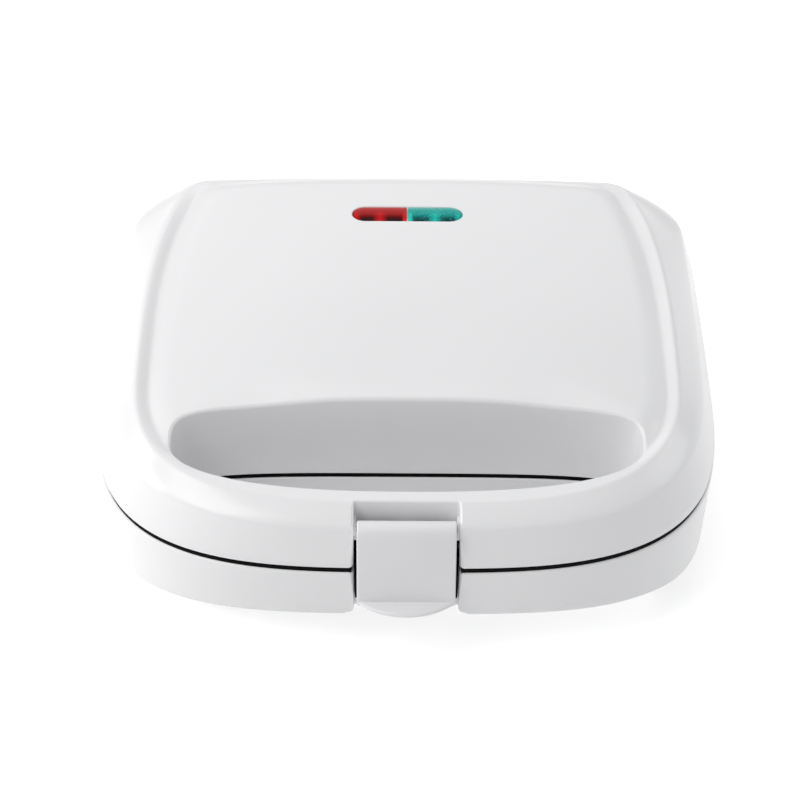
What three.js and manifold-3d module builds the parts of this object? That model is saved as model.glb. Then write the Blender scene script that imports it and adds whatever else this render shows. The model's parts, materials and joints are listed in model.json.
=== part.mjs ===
// Two-slice sandwich maker: a hinged lid over a base, each with a moulded white shell,
// a black inner frame, a die-cast cooking plate, its heating element and its heat shield.
// Millimetres. +Z is up, the front faces -Y, and the feet rest on Z = 0.
import * as THREE from 'three';
import Module from 'manifold-3d';
import { mergeVertices } from 'three/addons/utils/BufferGeometryUtils.js';

const wasm = await Module();
wasm.setup();

// Whole body
const bodyWidth = 225;
const bodyDepth = 206;
const lidSpare = 1.3;
const baseSpare = 3.2;
const footHeight = 6;
const seamGap = 1.8;
const shellWall = 2.2;
const fit = 0.3;
const overrun = 12;
const weld = 0.004;
const snap = 0.0001;
const graze = 0.03;

// Rim outline, seen from above
const rimFrontBow = 106;
const frontPower = 3.2;
const rimRearRound = 23;
const rimTaper = 1.8;
const taperPower = 3;
const cornerPower = 3;
const rimEdge = 0.5;
const rimRound = 1.3;
const wallDraft = 1.4;
const wallSideDraft = 4.9;
const shoulderReach = 1.4;
const shoulderRise = 2.5;

// Lid outline: wall, crest, valley and crowned panel
const lidWallFront = 16.1;
const lidWallSide = 18.3;
const crestInset = 16.1;
const crestFront = 9.5;
const crestRearInset = 7;
const crestFrontBow = 68;
const crestRearRound = 10;
const crestTaper = 13;
const crestFrontPower = 3;
const crestFrontRise = 22.8;
const crestSideRise = 32.4;
const crestRiseRun = 105;
const crestSoft = 0.7;
const crestRearRise = 31.3;
const crestRearCross = 2.2;
const valleyWidth = 4;
const valleyDepth = 1.7;
const pillowWidth = 9;
const panelCrossDrop = 6.2;
const panelFrontDrop = 3.2;
const panelRearDrop = 2.6;
const panelPeakInset = 66;
const rearBlendRun = 34;
const flankSwell = 0.5;

// Base outline below the seam
const baseWallFront = 20.3;
const baseWallSide = 30;
const baseDraft = 2;
const bellyInset = 18;
const bellyFront = 11;
const bellyStep = 4.7;
const soleRound = 3;
const soleInset = 26;
const soleRearInset = 22;

// Hand opening through both shells
const openingSideBar = 30.2;
const openingFront = 15.2;
const openingRear = 53.6;
const openingFrontBow = 23.4;
const openingFrontPower = 2.4;
const openingRearPower = 3;
const openingWall = 2;
const lipRadius = 3;

// Latch, its notch and its pin
const latchWidth = 34.1;
const latchSideGap = 1.1;
const latchProud = 1.5;
const latchThickness = 3;
const latchTop = 18;
const latchBottom = 14.4;
const latchHeadDepth = 8;
const latchHeadDrop = 10.5;
const latchCorner = 2.6;
const latchEdge = 0.5;
const ledgeReach = 6.9;
const ledgeThickness = 1.6;
const latchBackGap = 1;
const notchMouthRound = 2.2;
const latchPinBack = 3.6;
const latchPinRise = 12.6;
const latchPinRadius = 1.5;
const hookGap = 0.7;
const hookThickness = 3;
const hookWidth = 24;
const catchDrop = 4.6;
const catchThickness = 2.6;
const catchReach = 3.8;
const tongueThickness = 2;
const tongueRise = 12.4;
const tongueDrop = 18.6;
const tongueFootDepth = 3.4;

// Hinge
const knuckleRadius = 4;
const knuckleClear = 0.7;
const hingeInset = 60.5;
const hingeLength = 30;
const lidKnuckleLength = 12;
const hingePinRadius = 1.6;
const hingeHeadRadius = 2.6;
const hingeWebHeight = 9;

// Inner frames and cooking plates
const frameGap = 0.3;
const frameLipInset = 0.8;
const frameLipGap = 0.25;
const frameThickness = 2.9;
const plateGap = 0.6;
const plateSideInset = 13.5;
const plateFrontMargin = 7.4;
const plateRearInset = 18;
const plateCorner = 12;
const plateThickness = 3;
const pocketDepth = 9;
const pocketWall = 2.6;
const pocketMargin = 7;
const pocketBridge = 6;
const pocketCorner = 9;
const pocketLip = 1;
const pocketSlope = 6;
const postRadius = 4;
const elementRadius = 3.2;
const elementInset = 29;
const elementBend = 16;
const elementTailSpacing = 26;
const elementTail = 8;
const shieldThickness = 0.8;
const shieldFlange = 3.4;
const shieldNotch = 10;

// Indicator lamps
const lampLength = 41.6;
const lampWidth = 9.9;
const lampRearInset = 39.8;
const lensSink = 0.5;
const lensDepth = 4.6;
const lensDivider = 0.5;
const lampTrayWall = 1.6;
const lampTrayDepth = 9;
const lampTrayClear = 0.6;
const bulbRadius = 2.4;
const bulbMargin = 3.9;

// Fasteners, feet and small electrical parts
const screwRadius = 1.6;
const screwHeadRadius = 3.2;
const screwHeadHeight = 2;
const bossRadius = 4.4;
const frontBossInset = 18.5;
const frontBossBack = 42;
const rearBossInset = 52.5;
const lidScrewLength = 14;
const baseScrewSeat = 11;
const postFrontInset = 15;
const postRearInset = 28;
const shieldScrewLength = 9;
const footRadius = 8;
const footStubRadius = 3;
const footEdge = 1;
const footSideMargin = 17.5;
const footFrontMargin = 22;
const footRearMargin = 12;
const restInset = 57;
const glandRadius = 4.7;
const glandBore = 3.2;
const glandFlange = 6.8;
const glandFlangeThickness = 2;
const glandRoom = 1.35;
const glandSide = 0;
const glandLength = 12;
const thermostatRadius = 8;
const thermostatHeight = 5.4;
const thermostatSide = 26;
const bladeLength = 24;
const bladeWidth = 4.8;
const fuseRadius = 2;
const fuseLength = 24;
const fuseLeadRadius = 0.8;
const fuseLeadLength = 6;
const terminalLength = 34;
const terminalWidth = 12;
const terminalHeight = 10;
const terminalBore = 2;

// Heights of what is stacked over the seam, and the two shells that hold it
const plateFaceRise = plateGap / 2;
const pocketTopRise = plateFaceRise + pocketDepth + pocketWall;
const postTopRise = pocketTopRise + elementRadius * 2 + fit * 3;
const shieldRoofRise = postTopRise + fit + shieldThickness;
const screwTopRise = shieldRoofRise + fit + screwHeadHeight;
const lidRise = screwTopRise + lidSpare + lampTrayDepth + lensDepth + lensSink;
const baseDrop = screwTopRise + baseSpare + terminalHeight + shellWall;
const barUnderside = baseWallFront + bellyStep;
const frameBack = frameGap / 2 + frameThickness;
const bossFoot = frameBack + fit;
const glandDrop = bossFoot + glandFlange + glandFlangeThickness + glandRoom;

// Places worked out from the sizes above
const openingRearBow = openingRear - openingFront - openingFrontBow;
const plateFront = openingRear + plateFrontMargin;
const latchBack = latchHeadDepth - latchProud;
const notchDepth = latchBack + latchBackGap + tongueThickness + fit;
const hookReach = notchDepth - fit - tongueThickness - hookGap + latchProud - latchThickness;
const bulbLength = lampLength / 2 - bulbMargin * 2;
const hingeOffset = knuckleRadius + knuckleClear;
const overallDepth = ledgeReach + latchProud + bodyDepth + hingeOffset + knuckleRadius;
const rimFront = ledgeReach + latchProud - overallDepth / 2;
const rimRear = rimFront + bodyDepth;
const seamHeight = footHeight + baseDrop;
const hingeBack = rimRear + hingeOffset;
const rimHalf = bodyWidth / 2;
const notchHalf = latchWidth / 2 + latchSideGap;
const behind = (distance) => rimFront + distance;
const panelPeak = rimRear - panelPeakInset;
const plateHalf = rimHalf - plateSideInset;
const plateFrontEdge = behind(plateFront);
const plateRearEdge = rimRear - plateRearInset;
const plateMiddle = (plateFrontEdge + plateRearEdge) / 2;
const rearBossY = plateRearEdge + shieldFlange + fit + bossRadius;
const lampY = rimRear - lampRearInset;
const hingeMiddle = rimHalf - hingeInset;

// Shares of the sizes that they follow
const shoulderShares = [0.36, 0.7];
const flankShares = [0, 0.5];
const pillowShares = [[0.33, 0.62], [0.67, 0.93]];
const panelShares = [1, 0.78, 0.5, 0.22];
const ceilingShares = [1, 0.5];
const lipReachShare = 0.92;
const lipEndShare = 0.2;
const lipFadeShare = 0.16;
const webTangentShares = [0.9, 0.436];
const pocketShares = [[0, 1], [0.12, 0], [0.75, -0.4], [1, -1]];
const pocketShellShares = [0.22, 0.5];
const tailBendShare = 0.8;
const screwHeadShares = [0.75, 0.4];
const bulbTipShares = [0.7, 0.3];
const turnShares = [0.3, 0.6];
const bellyShare = 0.8;
const footTipShare = 0.8;
const discShares = [0.6, 0.72];
const bladeShare = 0.3;

// Finishes
const finish = (color, roughness, metalness = 0) => ({ color, roughness, metalness });
const whitePlastic = finish(0xf2f2f3, 0.32);
const blackNylon = finish(0x161617, 0.55);
const nonStick = finish(0x222324, 0.5, 0.3);
const steel = finish(0xb9bcc0, 0.35, 0.9);
const aluminised = finish(0xa9adb1, 0.45, 0.85);
const redLens = finish(0xc21318, 0.18);
const greenLens = finish(0x17a08f, 0.18);
const rubber = finish(0x2a2a2b, 0.85);
const glass = finish(0xe8d9c8, 0.1);
const ceramic = finish(0xe4dfd2, 0.6);

// Facet counts
const cornerSteps = 8;
const sideSteps = 4;
const rearArcSteps = 5;
const roundSides = 12;
const smallSides = 8;
const arcSteps = 4;
const pillSteps = 8;
const lipStations = 10;
const ledgeSteps = 12;
const quarter = Math.PI / 2;

const group = new THREE.Group();

function place(name, geometry, look) {
  const material = new THREE.MeshStandardMaterial(look);
  const mesh = new THREE.Mesh(geometry, material);
  mesh.name = name;
  group.add(mesh);
  return mesh;
}

function solid(geometry) {
  const bare = geometry.clone();
  bare.deleteAttribute('normal');
  bare.deleteAttribute('uv');
  const merged = mergeVertices(bare, snap);
  const vertProperties = new Float32Array(merged.attributes.position.array);
  const triVerts = new Uint32Array(merged.index.array);
  return new wasm.Manifold(new wasm.Mesh({ numProp: 3, vertProperties, triVerts }));
}

function geometryOf(body) {
  const mesh = body.asOriginal().simplify(weld).getMesh();
  const geometry = new THREE.BufferGeometry();
  geometry.setAttribute('position', new THREE.BufferAttribute(new Float32Array(mesh.vertProperties), 3));
  geometry.setIndex(new THREE.BufferAttribute(new Uint32Array(mesh.triVerts), 1));
  geometry.computeVertexNormals();
  return geometry;
}

const ease = (value) => {
  const t = Math.min(Math.max(value, 0), 1);
  return t * t * (3 - 2 * t);
};
const riseEase = (value) => Math.sin(Math.min(Math.max(value, 0), 1) * Math.PI / 2);
const mix = (from, to, share) => from + (to - from) * share;

// Points along an arc seen from above, both ends included
function arc(x, y, radius, from, to, steps = arcSteps) {
  return Array.from({ length: steps + 1 }, (_, k) => {
    const turn = mix(from, to, k / steps);
    return [x + radius * Math.cos(turn), y + radius * Math.sin(turn)];
  });
}

// Half of the rear of an outline, from its side to its middle: a superelliptic bow,
// or a round corner on a tapering side and a straight edge.
function rearHalf(form, steps) {
  const { half, rear, rearBow, rearPower, rearRound } = form;
  if (!rearRound) {
    return Array.from({ length: steps + 1 }, (_, i) => {
      const turn = quarter * i / steps;
      const across = Math.abs(Math.cos(turn)) ** (2 / rearPower);
      return [half * across, rear + rearBow * (Math.sin(turn) ** (2 / rearPower) - 1)];
    });
  }
  const { x, y, lean } = rearCorner(form);
  const bend = arc(x, y, rearRound, lean, quarter, rearArcSteps);
  const left = steps - rearArcSteps;
  const edge = Array.from({ length: left }, (_, i) => [mix(x, 0, (i + 1) / left), rear]);
  return [...bend, ...edge];
}

// Half the width of an outline at a place along its side, which narrows towards the rear
function sideHalf(form, y) {
  const start = form.front + form.frontBow;
  return form.half - (form.taper ?? 0) * ((y - start) / (form.rear - start)) ** taperPower;
}

// The middle of a rear corner's arc, and the lean of the side where the arc starts
function rearCorner(form) {
  const y = form.rear - form.rearRound;
  const run = form.rear - form.front - form.frontBow;
  const slope = taperPower * form.taper / run * ((y - form.front - form.frontBow) / run) ** (taperPower - 1);
  const lean = Math.atan(slope);
  const start = y + form.rearRound * Math.sin(lean);
  return { x: sideHalf(form, start) - form.rearRound * Math.cos(lean), y, lean };
}

// A rounded outline: a superelliptic bow in front, two sides, and the rear
function outline(form, steps = cornerSteps) {
  const { half, front, frontBow, frontPower: power } = form;
  const centre = front + frontBow;
  const right = [];
  for (let i = 0; i <= steps; i += 1) {
    const turn = quarter * i / steps;
    const along = Math.cos(turn) ** (2 / power);
    right.push([half * Math.sin(turn) ** (2 / power), centre - frontBow * along]);
  }
  const rearPart = rearHalf(form, steps);
  const [, end] = rearPart[0];
  const straight = end - centre > snap;
  for (let i = 1; straight && i < sideSteps; i += 1) {
    const y = mix(centre, end, i / sideSteps);
    right.push([sideHalf(form, y), y]);
  }
  right.push(...rearPart.slice(straight ? 0 : 1));
  const left = right.slice(1, -1).reverse().map(([x, y]) => [-x, y]);
  return [...right, ...left];
}

function inset(form, distance) {
  return {
    ...form,
    half: form.half - distance,
    front: form.front + distance,
    rear: form.rear - distance,
    frontBow: form.frontBow - distance,
    rearBow: form.rearBow - distance,
  };
}

// The rear edge of an outline, at a place across it
function rearEdge(form, x) {
  const { half, rear, rearBow, rearPower, rearRound } = form;
  if (!rearRound) {
    return rear - rearBow * (1 - (1 - Math.abs(x / half) ** rearPower) ** (1 / rearPower));
  }
  const past = Math.min(Math.max(Math.abs(x) - rearCorner(form).x, 0), rearRound);
  return rear - rearRound + Math.sqrt(rearRound ** 2 - past ** 2);
}

// Whether the triangles of a closed skin face outwards
function facesOut(points, index) {
  let volume = 0;
  for (let i = 0; i < index.length; i += 3) {
    const [a, b, c] = [0, 1, 2].map((k) => new THREE.Vector3(...points[index[i + k]]));
    volume += a.dot(b.cross(c));
  }
  return volume > 0;
}

// A closed skin through rings of equal counts, each closed at its ends by a fan.
function loft(rings) {
  const count = rings[0].length;
  const flat = rings.flat();
  const index = [];
  for (let r = 0; r + 1 < rings.length; r += 1) {
    for (let i = 0; i < count; i += 1) {
      const a = r * count + i;
      const b = r * count + (i + 1) % count;
      index.push(a, b, b + count, a, b + count, a + count);
    }
  }
  const last = (rings.length - 1) * count;
  const middle = (ring) => [0, 1, 2].map((k) => ring.reduce((sum, p) => sum + p[k], 0) / count);
  flat.push(middle(rings[0]), middle(rings.at(-1)));
  for (let i = 0; i < count; i += 1) {
    const j = (i + 1) % count;
    index.push(flat.length - 2, j, i);
    index.push(flat.length - 1, last + i, last + j);
  }
  const geometry = new THREE.BufferGeometry();
  geometry.setAttribute('position', new THREE.Float32BufferAttribute(flat.flat(), 3));
  geometry.setIndex(facesOut(flat, index) ? index : index.reverse());
  return solid(geometry);
}

// One ring of a loft: an outline seen from above, with a height above the seam for each point.
const ring = (form, height) => outline(form).map(([x, y]) => [x, y, seamHeight + height(x, y)]);

function prism(points, low, high) {
  const shape = new THREE.Shape(points.map(([x, y]) => new THREE.Vector2(x, y)));
  const geometry = new THREE.ExtrudeGeometry(shape, { depth: high - low, bevelEnabled: false });
  geometry.translate(0, 0, low);
  return solid(geometry);
}

const block = (x0, x1, y0, y1, z0, z1) => {
  const geometry = new THREE.BoxGeometry(x1 - x0, y1 - y0, z1 - z0);
  geometry.translate((x0 + x1) / 2, (y0 + y1) / 2, (z0 + z1) / 2);
  return solid(geometry);
};

function post(x, y, low, high, radius, sides = roundSides) {
  const geometry = new THREE.CylinderGeometry(radius, radius, high - low, sides);
  geometry.rotateX(quarter);
  geometry.translate(x, y, (low + high) / 2);
  return solid(geometry);
}

function rodAlongX(x0, x1, y, z, radius, sides = smallSides) {
  const geometry = new THREE.CylinderGeometry(radius, radius, x1 - x0, sides);
  geometry.rotateZ(quarter);
  geometry.translate((x0 + x1) / 2, y, z);
  return solid(geometry);
}

function roundedRectangle(half, front, rear, corner) {
  const side = half - corner;
  return [
    ...arc(side, front + corner, corner, -quarter, 0),
    ...arc(side, rear - corner, corner, 0, quarter),
    ...arc(-side, rear - corner, corner, quarter, 2 * quarter),
    ...arc(-side, front + corner, corner, 2 * quarter, 3 * quarter),
  ];
}

function lathe(profile, sides = roundSides) {
  return new THREE.LatheGeometry(profile.map(([r, h]) => new THREE.Vector2(r, h)), sides);
}

const minus = (body, cutters) => cutters.reduce((left, cutter) => left.subtract(cutter), body);
const plus = (body, added) => added.reduce((whole, piece) => whole.add(piece), body);

// Outlines shared by the pieces
const rimForm = {
  half: rimHalf,
  front: rimFront,
  rear: rimRear,
  frontBow: rimFrontBow,
  frontPower,
  rearRound: rimRearRound,
  taper: rimTaper,
};
const crestForm = {
  half: rimHalf - crestInset,
  front: behind(crestFront),
  rear: rimRear - crestRearInset,
  frontBow: crestFrontBow,
  frontPower: crestFrontPower,
  rearRound: crestRearRound,
  taper: crestTaper,
};
const wallForm = { ...inset(rimForm, wallDraft), half: rimHalf - wallSideDraft };
const openingForm = {
  half: rimHalf - openingSideBar,
  front: behind(openingFront),
  rear: behind(openingRear),
  frontBow: openingFrontBow,
  rearBow: openingRearBow,
  frontPower: openingFrontPower,
  rearPower: openingRearPower,
};

const openingPrism = (growth) => {
  const span = lidRise + baseDrop + overrun;
  return prism(outline(inset(openingForm, -growth)), seamHeight - span, seamHeight + span);
};

// The notch for the latch, with rounded corners at its mouth
function notchPrism(growth, low, high) {
  const half = notchHalf + growth;
  const back = behind(notchDepth + growth);
  const mouth = rimFront - growth;
  const round = notchMouthRound;
  const far = rimFront - overrun;
  const side = half + round;
  return prism([
    [-half, back],
    ...arc(-side, mouth + round, round, 0, -quarter),
    [-side, far],
    [side, far],
    ...arc(side, mouth + round, round, 3 * quarter, 2 * quarter),
    [half, back],
  ], low, high);
}

// Heights of the lid above the seam
const soleShare = (y) => ease((y - behind(openingFront)) / (openingRear - openingFront));
const cornerShare = (x, y) => {
  const side = Math.min(Math.abs(x / rimHalf), 1) ** cornerPower;
  return 1 - (1 - side) * (1 - soleShare(y));
};
const wallTop = (x, y) => mix(lidWallFront, lidWallSide, cornerShare(x, y));
const shoulderTop = (x, y) => wallTop(x, y) + shoulderRise;
const crestTop = (x, y) => {
  const run = (y - behind(crestFront)) / crestRiseRun;
  return mix(crestFrontRise, crestSideRise, riseEase(run));
};
const panelTop = (x, y) => {
  const ahead = Math.max(panelPeak - y, 0) / (panelPeak - behind(openingRear));
  const past = Math.max(y - panelPeak, 0) / panelPeakInset;
  const across = x / crestForm.half;
  const drop = panelFrontDrop * ahead ** 2 + panelRearDrop * past ** 2 + panelCrossDrop * across ** 2;
  return lidRise - drop;
};
const rearShare = (y) => ease((y - (rimRear - crestRearInset - rearBlendRun)) / rearBlendRun);
const crestRear = (x) => crestRearRise - crestRearCross * (x / crestForm.half) ** 2;
const crestHeight = (x, y) => mix(crestTop(x, y), crestRear(x), rearShare(y));
const pillowShare = (y) => ease((y - behind(openingFront + openingFrontBow / 2)) / (openingRear / 2));
const valleyHeight = (x, y) => {
  const crestSide = crestHeight(x, y) - valleyDepth * pillowShare(y);
  return mix(crestSide, panelTop(x, y) - valleyDepth, rearShare(y));
};
const pillowHeight = (rise) => (x, y) => {
  return mix(valleyHeight(x, y), panelTop(x, y), rise * pillowShare(y));
};

// Lid shell: rim, wall, soft shoulder, rising flank, crest, valley and crowned panel
function lidOuter() {
  const rim = seamGap / 2;
  const [turnIn, turnUp] = shoulderShares;
  const shoulder = inset(wallForm, shoulderReach);
  const crest = (grow) => inset(crestForm, grow);
  const flank = (share) => {
    const low = outline(shoulder);
    const high = outline(crest(0));
    return low.map(([x, y], i) => {
      const [hx, hy] = high[i];
      const swell = flankSwell * 4 * share * (1 - share);
      const z = mix(shoulderTop(x, y), crestHeight(hx, hy), share) + swell;
      return [mix(x, hx, share), mix(y, hy, share), seamHeight + z];
    });
  };
  const panelForm = crest(valleyWidth + pillowWidth);
  const panelRing = (scale) => outline(panelForm).map(([x, y]) => {
    const middle = (panelForm.front + panelForm.rear) / 2;
    const px = x * scale;
    const py = mix(middle, y, scale);
    return [px, py, seamHeight + panelTop(px, py)];
  });
  return loft([
    ring(inset(rimForm, rimEdge), () => rim),
    ring(rimForm, () => rim + rimRound),
    ring(wallForm, wallTop),
    ring(inset(wallForm, shoulderReach * turnIn), (x, y) => wallTop(x, y) + shoulderRise * turnUp),
    ...flankShares.map(flank),
    ring(crest(-crestSoft), (x, y) => crestHeight(x, y) - crestSoft / 3),
    ring(crest(crestSoft), crestHeight),
    ring(crest(valleyWidth), valleyHeight),
    ...pillowShares.map(([across, rise]) => {
      return ring(crest(valleyWidth + pillowWidth * across), pillowHeight(rise));
    }),
    ...panelShares.map(panelRing),
  ]);
}

function lidHollow() {
  const ceiling = inset(crestForm, valleyWidth + pillowWidth);
  const below = (height) => (x, y) => height(x, y) - shellWall;
  const middle = (ceiling.front + ceiling.rear) / 2;
  const inner = (scale) => outline(ceiling).map(([x, y]) => {
    const px = x * scale;
    const py = mix(middle, y, scale);
    return [px, py, seamHeight + panelTop(px, py) - shellWall];
  });
  return loft([
    ring(inset(rimForm, shellWall), () => -overrun),
    ring(inset(rimForm, shellWall), () => seamGap),
    ring(inset(wallForm, shellWall), wallTop),
    ring(inset(crestForm, shellWall), (x, y) => crestHeight(x, y) - valleyDepth - shellWall),
    ring(inset(crestForm, shellWall + valleyWidth), below(valleyHeight)),
    ...ceilingShares.map(inner),
  ]);
}

const bossPlaces = [
  [frontBossInset - rimHalf, behind(frontBossBack)],
  [rimHalf - frontBossInset, behind(frontBossBack)],
  [rearBossInset - rimHalf, rearBossY],
  [rimHalf - rearBossInset, rearBossY],
];

// The soft lip along the rear edge of the hand opening, fading out at both ends
function lipCutter() {
  const reach = openingForm.half * lipReachShare;
  const rings = [];
  for (let i = 0; i <= lipStations; i += 1) {
    const x = mix(-reach, reach, i / lipStations);
    const lip = rearEdge(openingForm, x);
    const radius = lipRadius * mix(lipEndShare, 1, ease((1 - Math.abs(x) / reach) / lipFadeShare));
    const top = seamHeight + panelTop(x, lip + radius);
    const profile = [[lip - lipRadius, top - radius], [lip - graze, top - radius]];
    profile.push(...arc(lip + radius, top - radius, radius, 2 * quarter, quarter).slice(1, -1));
    profile.push([lip + radius, top], [lip + radius, top + overrun], [lip - lipRadius, top + overrun]);
    rings.push(profile.map(([y, z]) => [x, y, z]));
  }
  return loft(rings);
}

// A pill seen from above: two half circles joined by straight sides
const pillOutline = (half, radius) => [
  ...arc(half - radius, lampY, radius, -quarter, quarter, pillSteps),
  ...arc(radius - half, lampY, radius, quarter, 3 * quarter, pillSteps),
];
const pill = (half, radius, low, high) => prism(pillOutline(half, radius), low, high);

const lampFace = seamHeight + panelTop(0, lampY) - lensSink;
const hingeSides = [-1, 1];

// A hinge knuckle with the web that carries it on its shell
function knuckle(x0, x1, up) {
  const barrel = rodAlongX(x0, x1, hingeBack, seamHeight, knuckleRadius, roundSides);
  const rim = seamHeight + up * seamGap / 2;
  const far = seamHeight + up * hingeWebHeight;
  const [out, along] = webTangentShares;
  const section = (x) => {
    const wall = rearEdge(rimForm, x);
    return [
      [x, wall - shellWall, rim],
      [x, hingeBack, rim],
      [x, hingeBack + knuckleRadius * out, seamHeight + up * knuckleRadius * along],
      [x, wall, far],
      [x, wall - shellWall, far],
    ];
  };
  return barrel.add(loft([section(x0), section(x1)]));
}

const hingeBore = (side) => {
  const middle = side * hingeMiddle;
  const reach = hingeLength / 2 + overrun;
  return rodAlongX(middle - reach, middle + reach, hingeBack, seamHeight, hingePinRadius + fit, smallSides);
};

function buildLidShell() {
  const ceiling = seamHeight + lidRise + overrun;
  const low = seamHeight + bossFoot;
  const hollow = minus(lidHollow(), [
    openingPrism(openingWall),
    notchPrism(shellWall, seamHeight - overrun, ceiling),
    ...bossPlaces.map(([x, y]) => post(x, y, low, ceiling, bossRadius)),
  ]);
  const shell = minus(lidOuter(), [
    hollow,
    openingPrism(0),
    lipCutter(),
    notchPrism(0, seamHeight - overrun, ceiling),
    tongueSlot(),
    pill(lampLength / 2 + fit, lampWidth / 2 + fit, seamHeight, ceiling),
    ...bossPlaces.map(([x, y]) => post(x, y, seamHeight - overrun, low, bossRadius + fit)),
    ...bossPlaces.map(([x, y]) => {
      return post(x, y, low - overrun, low + lidScrewLength, screwRadius + fit, smallSides);
    }),
    rodAlongX(
      -notchHalf - shellWall, notchHalf + shellWall,
      behind(latchPinBack), seamHeight + latchPinRise, latchPinRadius + fit,
    ),
  ]);
  const withHinge = plus(shell, hingeSides.map((side) => {
    const middle = side * hingeMiddle;
    return knuckle(middle - lidKnuckleLength / 2, middle + lidKnuckleLength / 2, 1);
  }));
  return minus(withHinge, hingeSides.map(hingeBore));
}

// A piece for one half is drawn upwards from the seam; the base half is its mirror image.
const mirrored = (body) => {
  return body.translate([0, 0, -seamHeight]).mirror([0, 0, 1]).translate([0, 0, seamHeight]);
};

// Black inner frame that closes a shell round its cooking plate
const frameLow = seamHeight + frameGap / 2;
const frameHigh = frameLow + frameThickness;
const plateOutline = (growth) => {
  const corner = plateCorner + growth;
  return roundedRectangle(plateHalf + growth, plateFrontEdge - growth, plateRearEdge + growth, corner);
};

function buildFrame() {
  const low = frameLow - overrun;
  const high = frameHigh + overrun;
  const lean = wallSideDraft * frameBack / lidWallSide;
  const slab = minus(prism(outline(inset(rimForm, shellWall + fit + lean)), frameLow, frameHigh), [
    openingPrism(openingWall + fit),
    notchPrism(shellWall + fit, low, high),
  ]);
  const lipTop = seamHeight + seamGap / 2 - frameLipGap;
  const lip = minus(prism(outline(inset(rimForm, frameLipInset)), frameLow, lipTop), [
    openingPrism(frameLipInset),
    notchPrism(frameLipInset, low, high),
  ]);
  return minus(slab.add(lip), [
    prism(plateOutline(fit), low, high),
    ...bossPlaces.map(([x, y]) => post(x, y, low, high, screwRadius + fit, smallSides)),
  ]);
}

// The tongue that lines the notch behind the latch, with a foot that joins it to its frame
const tongueBack = behind(notchDepth) - fit;
const footHalf = notchHalf + shellWall + tongueThickness;
const tongueFootTop = frameLow + tongueThickness;
function notchTongue(height) {
  const half = notchHalf - fit;
  const tongue = block(-half, half, tongueBack - tongueThickness, tongueBack, frameLow, seamHeight + height);
  const front = tongueBack - tongueFootDepth;
  return tongue.add(block(-footHalf, footHalf, front, tongueBack, frameLow, tongueFootTop));
}

// Where the tongue's foot passes through the notch's side walls
function tongueSlot() {
  const front = tongueBack - tongueFootDepth - fit;
  return block(-footHalf - fit, footHalf + fit, front, tongueBack + fit, seamHeight, tongueFootTop + fit);
}

function buildLidFrame() {
  const seats = bossPlaces.map(([x, y]) => {
    return post(x, y, frameLow - overrun, frameLow + screwHeadHeight + fit, screwHeadRadius + fit);
  });
  return minus(buildFrame(), seats);
}

// Cooking plate drawn face down at the seam, with its pocket backs standing above it
const plateFace = seamHeight + plateFaceRise;
const plateBack = plateFace + plateThickness;
const pocketTop = seamHeight + pocketTopRise;
const postTop = seamHeight + postTopRise;

// A triangle grown outwards from rounded corners, drawn counter-clockwise
function roundedTriangle(corners, growth, z) {
  const radius = pocketCorner + growth;
  const points = [];
  corners.forEach((corner, i) => {
    const here = new THREE.Vector2(...corner);
    const before = new THREE.Vector2(...corners[(i + 2) % 3]).sub(here).normalize();
    const after = new THREE.Vector2(...corners[(i + 1) % 3]).sub(here).normalize();
    const halfAngle = Math.acos(before.dot(after)) / 2;
    const inward = before.add(after).normalize();
    const middle = here.addScaledVector(inward, pocketCorner / Math.sin(halfAngle));
    const outward = Math.atan2(-inward.y, -inward.x);
    const sweep = Math.PI - 2 * halfAngle;
    const bend = arc(middle.x, middle.y, radius, outward - sweep / 2, outward + sweep / 2, arcSteps - 1);
    points.push(...bend.map(([x, y]) => [x, y, z]));
  });
  return points;
}

// Both slices halve into two triangles; the right slice mirrors the left.
const sliceOuter = pocketMargin - plateHalf;
const sliceInner = -pocketBridge / 2;
const sliceFront = plateFrontEdge + pocketMargin;
const sliceRear = plateRearEdge - pocketMargin;
const pocketCorners = [
  [[sliceOuter, sliceRear - pocketBridge], [sliceOuter, sliceFront], [sliceInner - pocketBridge, sliceFront]],
  [[sliceInner, sliceFront + pocketBridge], [sliceInner, sliceRear], [sliceOuter + pocketBridge, sliceRear]],
];
const bothSides = (body) => body.add(body.mirror([1, 0, 0]));

function pocketSpace(corners) {
  const rings = pocketShares.map(([depth, share]) => {
    const growth = share > 0 ? share * pocketLip : share * pocketSlope;
    return roundedTriangle(corners, growth, plateFace + pocketDepth * depth);
  });
  return loft([roundedTriangle(corners, pocketLip, plateFace - overrun), ...rings]);
}

function pocketShell(corners) {
  const top = pocketWall - pocketSlope;
  const [inward, up] = pocketShellShares;
  const shoulder = plateFace + pocketDepth * up + pocketWall / 2;
  return loft([
    roundedTriangle(corners, pocketWall, plateFace + plateThickness / 2),
    roundedTriangle(corners, pocketWall - pocketSlope * inward, shoulder),
    roundedTriangle(corners, top / 2, pocketTop - pocketWall / 2),
    roundedTriangle(corners, top, pocketTop),
  ]);
}

const shieldPosts = [[0, plateFrontEdge + postFrontInset], [0, plateRearEdge - postRearInset]];

function buildPlate() {
  const slab = prism(plateOutline(0), plateFace, plateBack);
  const shells = pocketCorners.map((corners) => bothSides(pocketShell(corners)));
  const posts = shieldPosts.map(([x, y]) => post(x, y, plateFace + plateThickness / 2, postTop, postRadius));
  const pockets = pocketCorners.map((corners) => bothSides(pocketSpace(corners)));
  const threads = shieldPosts.map(([x, y]) => {
    return post(x, y, postTop - shieldScrewLength, postTop + overrun, screwRadius + fit, smallSides);
  });
  return minus(plus(slab, [...shells, ...posts]), [...pockets, ...threads]);
}

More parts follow.
